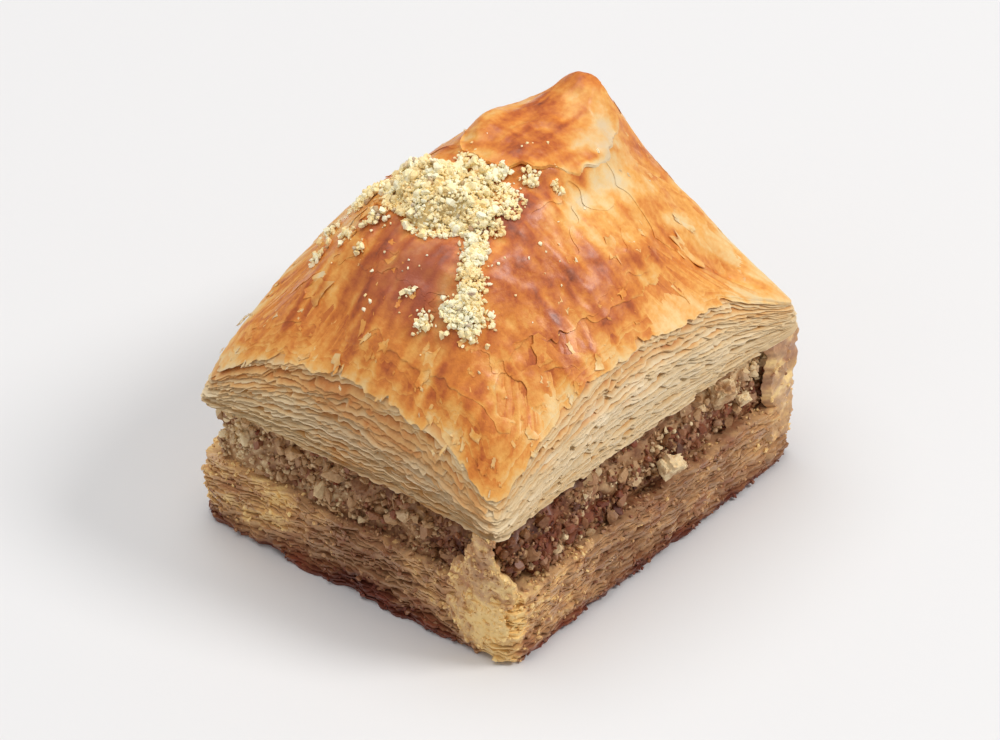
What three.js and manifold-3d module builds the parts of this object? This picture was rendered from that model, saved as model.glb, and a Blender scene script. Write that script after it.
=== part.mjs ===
// One piece of walnut baklava, cut square: syrup-soaked pastry leaves below, a band of
// ground walnut, and a domed cap of thin baked leaves that carries a heap of nut crumbs.
//
// Millimetres, +Z up. The piece stands on the plane z = 0 with its middle over the origin.
// Its cut faces look along +X (right), +Y (back), -X (left) and -Y (front).

import * as THREE from 'three';
import Module from 'manifold-3d';

// Heights
const BASE_HEIGHT = 7.6;
const FILLING_HEIGHT = 7.1;
const CAP_UNDERSIDE = BASE_HEIGHT + FILLING_HEIGHT;
const CREST_HEIGHT = 36.6;

// Plan of each layer: where its four corners stand, as [x, y], and how far the middle of
// each side is drawn in. The cut is a little skew.
const HALF_WIDTH = 17.2;
const HALF_LENGTH = 20.4;
const BASE_PLAN = {
  frontRight: [17.0, -19.1],
  backRight: [18.7, 20.4],
  backLeft: [-17.7, 19.9],
  frontLeft: [-18.6, -20.3],
  waist: 0,
};
const FILLING_PLAN = {
  frontRight: [16.0, -18.5],
  backRight: [17.8, 19.8],
  backLeft: [-17.0, 19.4],
  frontLeft: [-17.4, -19.7],
  waist: 0.3,
};
const CAP_PLAN = {
  frontRight: [15.9, -19.9],
  backRight: [19.0, 21.2],
  backLeft: [-17.4, 20.6],
  frontLeft: [-18.1, -21.5],
  waist: 0.7,
};
const CORNER_SHARPNESS = 20;

// The rim of the cap: leaves stand `rise` high where a face is tallest, at `peak` along it,
// and sink to CORNER_RISE at the corners. Behind the rim the dome climbs at `slope`.
const CORNER_RISE = 1.6;
const RIM = {
  right: { rise: 8.9, peak: 0, slope: 0.89 },
  back: { rise: 7.4, peak: -8, slope: 2.81 },
  left: { rise: 9.2, peak: 0, slope: 1.12 },
  front: { rise: 8.0, peak: 0, slope: 1.13 },
};

// The crown: level behind CREST_Y and falling towards the front corner before it
const CREST_Y = 4.0;
const CREST_FALL = 0.22;
const CROWN_BLEND = 0.9;
const CROWN_LIFT = 0.3;
const BLISTER_HEIGHT = 0.9;
const BLISTER_SIZE = 5.5;
const BLISTER_PHASE = 44.03;

// Blisters, swells and the flap fade out over this share of the way in from the rim
const RIM_FADE = 0.2;

// Where the leaves have puffed up or sunk: the far peak, and a dent at two corners
const SWELLS = [
  { at: [-0.7, 14.4], radius: 3.0, rise: 1.1 },
  { at: [13.6, 15.2], radius: 2.8, rise: -2.0 },
  { at: [-14.5, -12.5], radius: 3.5, rise: -0.9 },
];

// The flap: the top leaf has cracked round this oval on the crest, and its edge stands up.
// The raised edge falls off faster outside the oval than inside it.
const FLAP_CENTRE = [-0.8, 7.6];
const FLAP_HALF_WIDTH = 5.2;
const FLAP_HALF_LENGTH = 6.6;
const FLAP_RISE = 0.9;
const FLAP_OUTSIDE = 1.1;
const FLAP_INSIDE = 2.6;

// Leaves: how many show at a cut face, and how deep the grooves between them are
const BASE_LEAVES = 7;
const CAP_LEAVES = 9;
const LEAF_EDGE = 0.6;
const GROOVE_DEPTH = 0.45;
const LEAF_WANDER = 0.45;
const LEAF_RUN = 4.0;
const LEAF_PHASE = 1.7;
const BASE_PHASE = 3;
const CAP_PHASE = 40;

// The bottom leaf of each stack is drawn in by this much
const BASE_FOOT = 0.8;
const CAP_FOOT = 0.4;

// Ground walnut: the size and depth of its bumps, and the larger bits fused on
const CRUMBLE_INSET = 0.38;
const CRUMBLE_HEIGHT = 0.53;
const CRUMBLE_SIZE = 2.2;
const FILLING_RINGS = 8;
const NUT_BITS_PER_FACE = 6;
const NUT_BIT_RADIUS = [0.7, 1.25];
const NUT_BIT_ROOM = 1.5;
const NUT_BIT_SUNK = 0.5;
const BIT_STRETCH = [1.25, 1.0, 0.8];

// Nut crumbs on the cap: a heap behind the front corner, and a trail down from it
const HEAP_CENTRE = [-1.7, -4.1];
const HEAP_HALF_LENGTH = 6.3;
const HEAP_HALF_WIDTH = 4.1;
const HEAP_HEIGHT = 1.9;
const HEAP_CRUMBS = 20;
const TRAIL_START = [3.8, -7.4];
const TRAIL_END = [6.8, -12.6];
const TRAIL_CRUMBS = 8;
const SHOULDER_START = [-6.0, -8.6];
const SHOULDER_END = [-12.8, -10.8];
const SHOULDER_CRUMBS = 7;
const CRUMB_SPREAD = 1.1;
const CRUMB_RADIUS = [0.65, 1.2];
const CRUMB_LIFT = 0.2;

// Flakes: scraps of leaf stuck flat on the slopes, and a few more beside the heap
const SLOPE_FLAKES = 12;
const FLAKE_REACH = [0.5, 0.84];
const HEAP_FLAKES = 4;
const HEAP_FLAKE_START = [-7.2, -5.4];
const HEAP_FLAKE_END = [-8.6, -9.4];
const FLAKE_RADIUS = [0.9, 1.6];
const FLAKE_STRETCH = [1.3, 0.9, 0.24];
const FLAKE_LIFT = 0.1;

// Mesh fineness: points round a ring
const BASE_POINTS = 72;
const FILLING_POINTS = 96;
const CAP_POINTS = 88;
const DOME_RINGS = 11;
const DOME_CROWDING = 1.15;

const SEED = 20;

// ---------------------------------------------------------------- numbers

const clamp = (value, low, high) => Math.min(high, Math.max(low, value));
const mix = (from, to, share) => from + (to - from) * share;

// Random numbers 0..1 that come out the same on every run
function randomSource(seed) {
  let state = seed;
  return () => {
    state = (state + 0x6d2b79f5) | 0;
    let value = Math.imul(state ^ (state >>> 15), 1 | state);
    value = (value + Math.imul(value ^ (value >>> 7), 61 | value)) ^ value;
    return ((value ^ (value >>> 14)) >>> 0) / 2 ** 32;
  };
}

const latticeValue = (i, j, k) => {
  const key = Math.imul(i, 73856093) ^ Math.imul(j, 19349663) ^ Math.imul(k, 83492791);
  return randomSource(key ^ SEED)() * 2 - 1;
};

// Smooth bumps between -1 and 1, one bump to each unit of length
function bumps(x, y, z) {
  const cell = [x, y, z].map(Math.floor);
  const ease = [x, y, z].map((value, axis) => {
    const part = value - cell[axis];
    return part * part * (3 - 2 * part);
  });
  let sum = 0;
  for (let corner = 0; corner < 8; corner += 1) {
    const step = [corner & 1, (corner >> 1) & 1, (corner >> 2) & 1];
    const weight = step.reduce((all, on, axis) => all * (on ? ease[axis] : 1 - ease[axis]), 1);
    sum += weight * latticeValue(cell[0] + step[0], cell[1] + step[1], cell[2] + step[2]);
  }
  return sum;
}

// ------------------------------------------------------------------- plan

// Point of a layer at a, b, both -1..1 from its left to its right and its front to its back
function planPoint(plan, a, b) {
  const right = (1 + a * (1 - plan.waist / HALF_WIDTH * (1 - b ** 4))) / 2;
  const back = (1 + b * (1 - plan.waist / HALF_LENGTH * (1 - a ** 4))) / 2;
  return [0, 1].map((axis) => mix(
    mix(plan.frontLeft[axis], plan.frontRight[axis], right),
    mix(plan.backLeft[axis], plan.backRight[axis], right),
    back,
  ));
}

// Point on the rounded edge of the unit square, `turn` of the way round from its front corner
function edgePoint(turn) {
  const along = turn * 4;
  const side = Math.floor(along) % 4;
  const run = (along % 1) * 2 - 1;
  const [a, b] = [[1, run], [-run, 1], [-1, -run], [run, -1]][side];
  const norm = (Math.abs(a) ** CORNER_SHARPNESS + Math.abs(b) ** CORNER_SHARPNESS);
  const scale = norm ** (-1 / CORNER_SHARPNESS);
  return [a * scale, b * scale];
}

// One ring round a layer: `inset` gives the distance in from the edge, `height` the level
function ring(plan, points, inset, height) {
  return Array.from({ length: points }, (_, index) => {
    const [a, b] = edgePoint(index / points);
    const shrink = 1 - inset(index) / HALF_WIDTH;
    const [x, y] = planPoint(plan, a * shrink, b * shrink);
    return [x, y, height(index, a * shrink, b * shrink)];
  });
}

// ----------------------------------------------------------------- solids

// Closed skin over stacked rings, with a point in the middle of the bottom and of the top
function ringSolid(rings, bottomMiddle, topMiddle) {
  const points = rings[0].length;
  const vertices = [bottomMiddle, ...rings.flat(), topMiddle];
  const top = vertices.length - 1;
  const at = (level, index) => 1 + level * points + (index % points);
  const faces = [];
  for (let index = 0; index < points; index += 1) {
    faces.push(0, at(0, index + 1), at(0, index));
    for (let level = 0; level + 1 < rings.length; level += 1) {
      const [a, b] = [at(level, index), at(level, index + 1)];
      const [c, d] = [at(level + 1, index + 1), at(level + 1, index)];
      faces.push(a, b, c, a, c, d);
    }
    faces.push(top, at(rings.length - 1, index), at(rings.length - 1, index + 1));
  }
  const geometry = new THREE.BufferGeometry();
  geometry.setAttribute('position', new THREE.Float32BufferAttribute(vertices.flat(), 3));
  geometry.setIndex(faces);
  return geometry;
}

const wasm = await Module();
wasm.setup();

function toManifold(geometry) {
  return new wasm.Manifold(new wasm.Mesh({
    numProp: 3,
    vertProperties: geometry.getAttribute('position').array,
    triVerts: Uint32Array.from(geometry.getIndex().array),
  }));
}

function fromManifold(solid) {
  const mesh = solid.getMesh();
  const geometry = new THREE.BufferGeometry();
  geometry.setAttribute('position', new THREE.BufferAttribute(mesh.vertProperties, 3));
  geometry.setIndex(new THREE.BufferAttribute(mesh.triVerts, 1));
  return geometry;
}

const anyTurn = (random) => new THREE.Quaternion().setFromEuler(
  new THREE.Euler(random() * Math.PI, random() * Math.PI, random() * Math.PI),
);

// A rough bit: twelve corners, each pushed in or out
function bit(random, middle, radius, turn = anyTurn(random), sizes = BIT_STRETCH) {
  const ball = new THREE.IcosahedronGeometry(1, 0).getAttribute('position');
  const corners = [];
  const faces = [];
  const stretch = new THREE.Vector3(...sizes);
  const numbers = new Map();
  for (let index = 0; index < ball.count; index += 1) {
    const corner = new THREE.Vector3().fromBufferAttribute(ball, index);
    const key = corner.toArray().map((value) => value.toFixed(3)).join();
    if (!numbers.has(key)) {
      numbers.set(key, numbers.size);
      corner.multiply(stretch).multiplyScalar(radius * mix(0.8, 1.15, random()));
      corner.applyQuaternion(turn).add(new THREE.Vector3(...middle));
      corners.push(...corner.toArray());
    }
    faces.push(numbers.get(key));
  }
  const geometry = new THREE.BufferGeometry();
  geometry.setAttribute('position', new THREE.Float32BufferAttribute(corners, 3));
  geometry.setIndex(faces);
  return geometry;
}

function fuse(body, bits) {
  return fromManifold(bits.reduce((all, one) => all.add(toManifold(one)), toManifold(body)));
}

// Leaf edges stacked up a cut face: each leaf stands out, with a groove above it
function leafRings(plan, points, leaves, level, phase) {
  const rings = [];
  for (let leaf = 0; leaf < leaves; leaf += 1) {
    const wander = (index) => {
      const [a, b] = edgePoint(index / points);
      const run = [a * HALF_WIDTH / LEAF_RUN, b * HALF_LENGTH / LEAF_RUN];
      return LEAF_WANDER * (0.5 + 0.5 * bumps(run[0], run[1], phase + leaf * LEAF_PHASE));
    };
    const share = (part) => (index, a, b) => level((leaf + part) / leaves, a, b);
    rings.push(ring(plan, points, wander, share(LEAF_EDGE)));
    rings.push(ring(plan, points, (index) => wander(index) + GROOVE_DEPTH, share(1)));
  }
  return rings;
}

// ------------------------------------------------------------ base pastry

function basePastry() {
  const level = (share) => share * BASE_HEIGHT;
  const foot = ring(BASE_PLAN, BASE_POINTS, () => BASE_FOOT, () => 0);
  const leaves = leafRings(BASE_PLAN, BASE_POINTS, BASE_LEAVES, level, BASE_PHASE);
  return ringSolid([foot, ...leaves], [0, 0, 0], [0, 0, BASE_HEIGHT]);
}

// ------------------------------------------------------------ nut filling

function fillingWall() {
  const rings = [];
  for (let step = 0; step < FILLING_RINGS; step += 1) {
    const share = step / (FILLING_RINGS - 1);
    const height = BASE_HEIGHT + share * FILLING_HEIGHT;
    const inset = (index) => {
      const [a, b] = edgePoint(index / FILLING_POINTS);
      const place = [a * HALF_WIDTH, b * HALF_LENGTH, height].map((v) => v / CRUMBLE_SIZE);
      return CRUMBLE_INSET + CRUMBLE_HEIGHT * bumps(...place);
    };
    rings.push(ring(FILLING_PLAN, FILLING_POINTS, inset, () => height));
  }
  return ringSolid(rings, [0, 0, BASE_HEIGHT], [0, 0, CAP_UNDERSIDE]);
}

function nutFilling() {
  const random = randomSource(SEED);
  const bits = [];
  const count = 4 * NUT_BITS_PER_FACE;
  for (let index = 0; index < count; index += 1) {
    const [a, b] = edgePoint((index + 0.25 + 0.5 * random()) / count);
    const radius = mix(...NUT_BIT_RADIUS, random());
    const room = radius * NUT_BIT_ROOM;
    const height = mix(BASE_HEIGHT + room, CAP_UNDERSIDE - room, random());
    const shrink = 1 - NUT_BIT_SUNK * radius / HALF_WIDTH;
    bits.push(bit(random, [...planPoint(FILLING_PLAN, a * shrink, b * shrink), height], radius));
  }
  return fuse(fillingWall(), bits);
}

// ------------------------------------------------------------- top pastry

// Height of the leaves at a face, `along` it from its middle
function rimRise(face, along, halfSpan) {
  const reach = along > face.peak ? halfSpan - face.peak : halfSpan + face.peak;
  const share = clamp(Math.abs(along - face.peak) / reach, 0, 1);
  return mix(face.rise, CORNER_RISE, share * share);
}

// The lowest of several heights, with the edges between them rounded off
function softLowest(heights) {
  const lowest = Math.min(...heights);
  const sum = heights.reduce((all, one) => all + Math.exp(-CROWN_BLEND * (one - lowest)), 0);
  return lowest - Math.log(sum) / CROWN_BLEND + CROWN_LIFT;
}

function flapRise(x, y) {
  const far = Math.hypot(
    (x - FLAP_CENTRE[0]) / FLAP_HALF_WIDTH,
    (y - FLAP_CENTRE[1]) / FLAP_HALF_LENGTH,
  );
  const across = (far - 1) * FLAP_HALF_WIDTH;
  const width = across > 0 ? FLAP_OUTSIDE : FLAP_INSIDE;
  return FLAP_RISE * Math.exp(-((across / width) ** 2));
}

function swell(x, y) {
  return SWELLS.reduce((all, { at, radius, rise }) => {
    const far = Math.hypot(x - at[0], y - at[1]) / radius;
    return all + rise * Math.exp(-far * far);
  }, 0);
}

function domeHeight(a, b) {
  const [x, y] = [a * HALF_WIDTH, b * HALF_LENGTH];
  const crown = CREST_HEIGHT - CREST_FALL * Math.max(0, CREST_Y - y);
  const smooth = softLowest([
    crown,
    CAP_UNDERSIDE + rimRise(RIM.right, y, HALF_LENGTH) + RIM.right.slope * (HALF_WIDTH - x),
    CAP_UNDERSIDE + rimRise(RIM.back, x, HALF_WIDTH) + RIM.back.slope * (HALF_LENGTH - y),
    CAP_UNDERSIDE + rimRise(RIM.left, y, HALF_LENGTH) + RIM.left.slope * (HALF_WIDTH + x),
    CAP_UNDERSIDE + rimRise(RIM.front, x, HALF_WIDTH) + RIM.front.slope * (HALF_LENGTH + y),
  ]);
  const inward = clamp((1 - Math.max(Math.abs(a), Math.abs(b))) / RIM_FADE, 0, 1);
  const blisters = BLISTER_HEIGHT * bumps(x / BLISTER_SIZE, y / BLISTER_SIZE, BLISTER_PHASE);
  return smooth + inward * (blisters + flapRise(x, y) + swell(x, y));
}

function heapRise(a, b) {
  const x = (a * HALF_WIDTH - HEAP_CENTRE[0]) / HEAP_HALF_LENGTH;
  const y = (b * HALF_LENGTH - HEAP_CENTRE[1]) / HEAP_HALF_WIDTH;
  return HEAP_HEIGHT * Math.max(0, 1 - x * x - y * y);
}

function capBody() {
  const top = (a, b) => domeHeight(a, b) + heapRise(a, b);
  const level = (share, a, b) => mix(CAP_UNDERSIDE, top(a, b), share);
  const underside = ring(CAP_PLAN, CAP_POINTS, () => CAP_FOOT, () => CAP_UNDERSIDE);
  const leaves = leafRings(CAP_PLAN, CAP_POINTS, CAP_LEAVES, level, CAP_PHASE);
  const rings = [underside, ...leaves];
  for (let step = 1; step <= DOME_RINGS; step += 1) {
    const inset = HALF_WIDTH * (step / (DOME_RINGS + 1)) ** DOME_CROWDING;
    rings.push(ring(CAP_PLAN, CAP_POINTS, () => inset + LEAF_WANDER, (_, a, b) => top(a, b)));
  }
  return ringSolid(rings, [0, 0, CAP_UNDERSIDE], [0, 0, top(0, 0)]);
}

// Crumbs strewn along a line, each half sunk in what it lies on
function crumbLine(random, start, end, count) {
  return Array.from({ length: count }, (_, index) => {
    const share = (index + random()) / count;
    return [0, 1].map((axis) => (
      mix(start[axis], end[axis], share) + CRUMB_SPREAD * (random() * 2 - 1)
    ));
  });
}

// Crumbs over the heap, spread evenly by the golden angle
function crumbHeap(count) {
  return Array.from({ length: count }, (_, index) => {
    const radius = Math.sqrt((index + 0.5) / count);
    const angle = index * Math.PI * (3 - Math.sqrt(5));
    return [
      HEAP_CENTRE[0] + HEAP_HALF_LENGTH * radius * Math.cos(angle),
      HEAP_CENTRE[1] + HEAP_HALF_WIDTH * radius * Math.sin(angle),
    ];
  });
}

// A scrap of leaf lying on the slope at x, y
function flake(random, x, y) {
  const [a, b] = [x / HALF_WIDTH, y / HALF_LENGTH];
  const step = 0.02;
  const height = domeHeight(a, b);
  const slopeX = (domeHeight(a + step, b) - height) / (step * HALF_WIDTH);
  const slopeY = (domeHeight(a, b + step) - height) / (step * HALF_LENGTH);
  const up = new THREE.Vector3(-slopeX, -slopeY, 1).normalize();
  const upright = new THREE.Quaternion().setFromUnitVectors(new THREE.Vector3(0, 0, 1), up);
  const spin = new THREE.Quaternion().setFromAxisAngle(up, random() * Math.PI);
  const radius = mix(...FLAKE_RADIUS, random());
  const middle = [...planPoint(CAP_PLAN, a, b), height + FLAKE_LIFT * radius];
  return bit(random, middle, radius, spin.multiply(upright), FLAKE_STRETCH);
}

function flakePlaces(random) {
  const slopes = Array.from({ length: SLOPE_FLAKES }, (_, index) => {
    const [a, b] = edgePoint((index + random()) / SLOPE_FLAKES);
    const reach = mix(...FLAKE_REACH, random());
    return [a * reach * HALF_WIDTH, b * reach * HALF_LENGTH];
  });
  return [...slopes, ...crumbLine(random, HEAP_FLAKE_START, HEAP_FLAKE_END, HEAP_FLAKES)];
}

function topPastry() {
  const random = randomSource(SEED + 1);
  const places = [
    ...crumbHeap(HEAP_CRUMBS),
    ...crumbLine(random, TRAIL_START, TRAIL_END, TRAIL_CRUMBS),
    ...crumbLine(random, SHOULDER_START, SHOULDER_END, SHOULDER_CRUMBS),
  ];
  const crumbs = places.map(([x, y]) => {
    const [a, b] = [x / HALF_WIDTH, y / HALF_LENGTH];
    const radius = mix(...CRUMB_RADIUS, random());
    const height = domeHeight(a, b) + heapRise(a, b) + CRUMB_LIFT * radius;
    return bit(random, [...planPoint(CAP_PLAN, a, b), height], radius);
  });
  const flakes = flakePlaces(random).map(([x, y]) => flake(random, x, y));
  return fuse(capBody(), [...crumbs, ...flakes]);
}

// --------------------------------------------------------------- the part

function node(name, geometry, color, roughness) {
  geometry.computeVertexNormals();
  const material = new THREE.MeshStandardMaterial({ color, roughness, metalness: 0 });
  const mesh = new THREE.Mesh(geometry, material);
  mesh.name = name;
  return mesh;
}

const group = new THREE.Group();
group.add(node('base_pastry', basePastry(), 0xa9713f, 0.45));
group.add(node('nut_filling', nutFilling(), 0x6f4a30, 0.6));
group.add(node('top_pastry', topPastry(), 0xd08a3c, 0.35));

export default group;
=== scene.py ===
# %% [markdown]
# # A square of walnut baklava
#
# Baklava is a stack of paper-thin pastry leaves, brushed with butter, with a
# band of ground walnuts in the middle. It is cut before baking, so the leaves
# show their edges on all four sides, and the top leaves puff up into a dome.
# Hot syrup then soaks in from below: the bottom turns dense and tan, while
# the top stays flaky.
#
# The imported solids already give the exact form. This file keeps that form and
# builds the real surfaces over it: single leaves, a torn and blistered crust,
# and thousands of nut grains.

import bmesh
import bpy
import numpy as np
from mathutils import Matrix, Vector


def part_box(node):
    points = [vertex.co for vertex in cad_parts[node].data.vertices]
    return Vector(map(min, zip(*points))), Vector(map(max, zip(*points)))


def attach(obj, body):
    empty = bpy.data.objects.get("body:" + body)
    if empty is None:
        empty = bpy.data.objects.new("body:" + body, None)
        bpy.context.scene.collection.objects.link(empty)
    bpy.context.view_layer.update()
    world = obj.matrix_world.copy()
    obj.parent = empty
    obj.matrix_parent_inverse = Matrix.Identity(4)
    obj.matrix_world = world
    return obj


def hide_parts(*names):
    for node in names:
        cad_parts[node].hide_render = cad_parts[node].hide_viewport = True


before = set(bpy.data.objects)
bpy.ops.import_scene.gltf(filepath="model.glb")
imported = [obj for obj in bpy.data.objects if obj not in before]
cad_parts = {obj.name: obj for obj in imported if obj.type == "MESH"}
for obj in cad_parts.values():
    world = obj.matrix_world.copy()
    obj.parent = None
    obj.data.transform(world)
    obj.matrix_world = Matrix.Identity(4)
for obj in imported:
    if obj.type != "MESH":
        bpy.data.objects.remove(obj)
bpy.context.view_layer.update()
MM = 0.001
BODY = "root"
print("frame holds", sorted(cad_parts))

# %% [markdown]
# ## Camera
#
# The camera comes first. It looks down on the front corner from about forty
# degrees. A long lens keeps the cut edges nearly parallel, as in a food picture
# taken from a little way off.

# %% Camera
CAMERA_PLACE = np.array([577.3, -723.5, 820.8]) * MM
CAMERA_TARGET = np.array([3.3, -3.8, 18.0]) * MM
LENS = 493.3
SENSOR_WIDTH = 36.0


def add_object(name, data):
    """Puts a mesh, lamp or camera into the scene."""
    made = bpy.data.objects.new(name, data)
    bpy.context.scene.collection.objects.link(made)
    return made


def add_camera():
    data = bpy.data.cameras.new("camera")
    data.lens = LENS
    data.sensor_width = SENSOR_WIDTH
    camera = add_object("camera", data)
    camera.location = CAMERA_PLACE
    look = Vector(CAMERA_TARGET - CAMERA_PLACE)
    camera.rotation_euler = look.to_track_quat("-Z", "Y").to_euler()
    bpy.context.scene.camera = camera


add_camera()
print("camera stands", round(float(np.linalg.norm(CAMERA_PLACE)), 3), "m away")

# %% [markdown]
# ## Smooth random bumps
#
# Nothing on a pastry is even. One noise function drives all of that
# unevenness: it gives a fixed random number to each corner of a grid and
# blends between them. The same whole-number mixing is used by the solids, so
# the large blisters of the dome fall in the same places here.
#
# Most surfaces use only x and y divided by the size of a bump. The third
# number then just picks one of many patterns, and a line such as `3.1 * leaf`
# or `+ 40` there keeps two patterns from being alike.

# %% Noise
WORD = 0xFFFFFFFF
SEED = 20
STRIDES = (73856093, 19349663, 83492791)
STIR = 0x6D2B79F5
LAYER_SHIFT = 7.3


def lattice_value(cells, seed):
    """One fixed random number, -1 to 1, for each whole-number place."""
    i, j, k = (cell.astype(np.int64).astype(np.uint64) & WORD for cell in cells)
    state = ((i * STRIDES[0]) ^ (j * STRIDES[1]) ^ (k * STRIDES[2])) & WORD
    state = ((state ^ seed) + STIR) & WORD
    value = ((state ^ (state >> 15)) * (state | 1)) & WORD
    value = (value ^ (value + (value ^ (value >> 7)) * (value | 61))) & WORD
    return (value ^ (value >> 14)) / 2**32 * 2 - 1


def bumps(x, y, z, seed=SEED):
    """Smooth bumps between -1 and 1, one bump to each unit of length."""
    place = np.broadcast_arrays(*(np.atleast_1d(value) for value in (x, y, z)))
    cells = [np.floor(value) for value in place]
    parts = [value - cell for value, cell in zip(place, cells)]
    eases = [part * part * (3 - 2 * part) for part in parts]
    total = np.zeros(place[0].shape)
    for corner in range(8):
        steps = [corner & 1, corner >> 1 & 1, corner >> 2 & 1]
        weight = 1.0
        for ease, step in zip(eases, steps):
            weight = weight * (ease if step else 1 - ease)
        total += weight * lattice_value([c + s for c, s in zip(cells, steps)], seed)
    return total


def rough(x, y, z, layers=3, seed=SEED):
    """Bumps with finer bumps on them, each layer half as wide and as high."""
    total = 0.0
    for layer in range(layers):
        scale = 2**layer
        total = total + bumps(x * scale, y * scale, z * scale + LAYER_SHIFT * layer, seed) / scale
    return total


def bumps_over(x, y, size, pattern):
    """Bumps `size` millimetres wide over a surface."""
    return bumps(x / size, y / size, pattern)


def rough_over(x, y, size, pattern, layers=3, seed=SEED):
    """Rough bumps, the largest `size` millimetres wide, over a surface."""
    return rough(x / size, y / size, pattern, layers, seed)


print("noise in the first cell:", bumps(0.5, 0.5, 0.5).round(4))

# %% [markdown]
# Three more small curves shape nearly everything: a soft step, a bell and a
# fade. `mix` goes from one value to another, and `near` is a bell on the way
# round the piece.

# %% Curves
def ease_in(low, high, value):
    """0 below low, 1 above high, and a smooth step between."""
    share = np.clip((value - low) / (high - low), 0, 1)
    return share * share * (3 - 2 * share)


def bell(far, width):
    """1 at no distance, falling smoothly to 0 past `width`."""
    return np.exp(-((far / width) ** 2))


def fade(far, length):
    """1 at no distance, falling at once and by the same share for each `length`."""
    return np.exp(-far / length)


def mix(start, end, share):
    return start + (end - start) * share


def near(turn, middle, width):
    """1 at one place on the way round, falling to 0 on both sides of it."""
    return bell((turn - middle + 0.5) % 1 - 0.5, width)


print("a bell is", bell(1.0, 1.0).round(2), "high at its width")

# %% [markdown]
# ## The form, shared with the solids
#
# All shapes below are worked out in millimetres in a square that runs from -1
# to 1 both ways. `plan_point` bends that square to the slightly skew cut of a
# layer, and `dome` gives the height of the cap over it: five sloping planes,
# the lowest of which counts, with the edges between them rounded off.

# %% Plan of the layers
BASE_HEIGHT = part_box("base_pastry")[1].z / MM
CAP_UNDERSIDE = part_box("top_pastry")[0].z / MM
FILLING_HEIGHT = CAP_UNDERSIDE - BASE_HEIGHT
HALF_WIDTH = 17.2
HALF_LENGTH = 20.4
CORNER_SHARPNESS = 20

# Corners as front left, front right, back left, back right; the waist is how
# far the middle of each side is drawn in
BASE_PLAN = {
    "corners": np.array([[-18.6, -20.3], [17.0, -19.1], [-17.7, 19.9], [18.7, 20.4]]),
    "waist": 0.0,
}
FILLING_PLAN = {
    "corners": np.array([[-17.4, -19.7], [16.0, -18.5], [-17.0, 19.4], [17.8, 19.8]]),
    "waist": 0.3,
}
CAP_PLAN = {
    "corners": np.array([[-18.1, -21.5], [15.9, -19.9], [-17.4, 20.6], [19.0, 21.2]]),
    "waist": 0.7,
}


def in_mm(a, b):
    """The millimetres that a place in the square stands for."""
    return a * HALF_WIDTH, b * HALF_LENGTH


def in_square(x, y):
    """The place in the square for a place in millimetres."""
    return x / HALF_WIDTH, y / HALF_LENGTH


def plan_point(plan, a, b):
    """Bends the unit square to a layer's four corners, and gives x and y."""
    a, b = np.broadcast_arrays(a, b)
    right = (1 + a * (1 - plan["waist"] / HALF_WIDTH * (1 - b**4)))[..., None] / 2
    back = (1 + b * (1 - plan["waist"] / HALF_LENGTH * (1 - a**4)))[..., None] / 2
    corners = plan["corners"]
    front_edge = mix(corners[0], corners[1], right)
    back_edge = mix(corners[2], corners[3], right)
    return np.moveaxis(mix(front_edge, back_edge, back), -1, 0)


def round_off(a, b):
    """Pulls in the corners of a square, for each square round the middle."""
    reach = np.maximum(np.abs(a), np.abs(b)) + 1e-9
    sharp = CORNER_SHARPNESS
    norm = (np.abs(a / reach) ** sharp + np.abs(b / reach) ** sharp) ** (1 / sharp)
    return a / norm, b / norm


def edge_point(turn):
    """Point on the edge of the square, `turn` of the way round it."""
    side = np.floor(turn * 4).astype(int) % 4
    run = turn * 4 % 1 * 2 - 1
    one = np.ones_like(run)
    a = np.choose(side, [one, -run, -one, run])
    b = np.choose(side, [run, one, -run, -one])
    return round_off(a, b)


def rim_distance(a, b):
    """How far inside the cut faces a point lies, in mm."""
    return (1 - np.maximum(np.abs(a), np.abs(b))) * HALF_WIDTH


print("layers meet at", round(BASE_HEIGHT, 2), "and", round(CAP_UNDERSIDE, 2), "mm")

# %% Dome of the cap
CREST_HEIGHT = 36.6
CREST_Y = 4.0
CREST_FALL = 0.22
CORNER_RISE = 1.6
RIMS = [
    # highest rise of the leaves, how far along it lies, slope of the dome inward
    (8.9, 0.0, 0.89),  # right face
    (7.4, -8.0, 2.81),  # back face
    (9.2, 0.0, 1.12),  # left face
    (8.0, 0.0, 1.13),  # front face
]
CROWN_BLEND = 0.9
CROWN_LIFT = 0.3
BLISTER_HEIGHT = 0.9
BLISTER_SIZE = 5.5
BLISTER_PHASE = 44.03
RIM_FADE = 0.2
SWELLS = [
    # middle x, y, radius, rise
    (-0.7, 14.4, 3.0, 1.1),
    (13.6, 15.2, 2.8, -2.0),
    (-14.5, -12.5, 3.5, -0.9),
]
FLAP_CENTRE = np.array([-0.8, 7.6])
FLAP_HALF = np.array([5.2, 6.6])
FLAP_RISE = 0.9
FLAP_OUTSIDE = 1.1
FLAP_INSIDE = 2.6


def rim_rise(rise, peak, along, half_span):
    """Height of the leaves at a cut face, `along` it from its middle."""
    reach = np.where(along > peak, half_span - peak, half_span + peak)
    share = np.clip(np.abs(along - peak) / reach, 0, 1)
    return mix(rise, CORNER_RISE, share * share)


def flap_distance(x, y):
    """Distance in mm outside the oval of the cracked flap; less than 0 inside it."""
    far = np.hypot((x - FLAP_CENTRE[0]) / FLAP_HALF[0], (y - FLAP_CENTRE[1]) / FLAP_HALF[1])
    return (far - 1) * FLAP_HALF[0]


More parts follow.
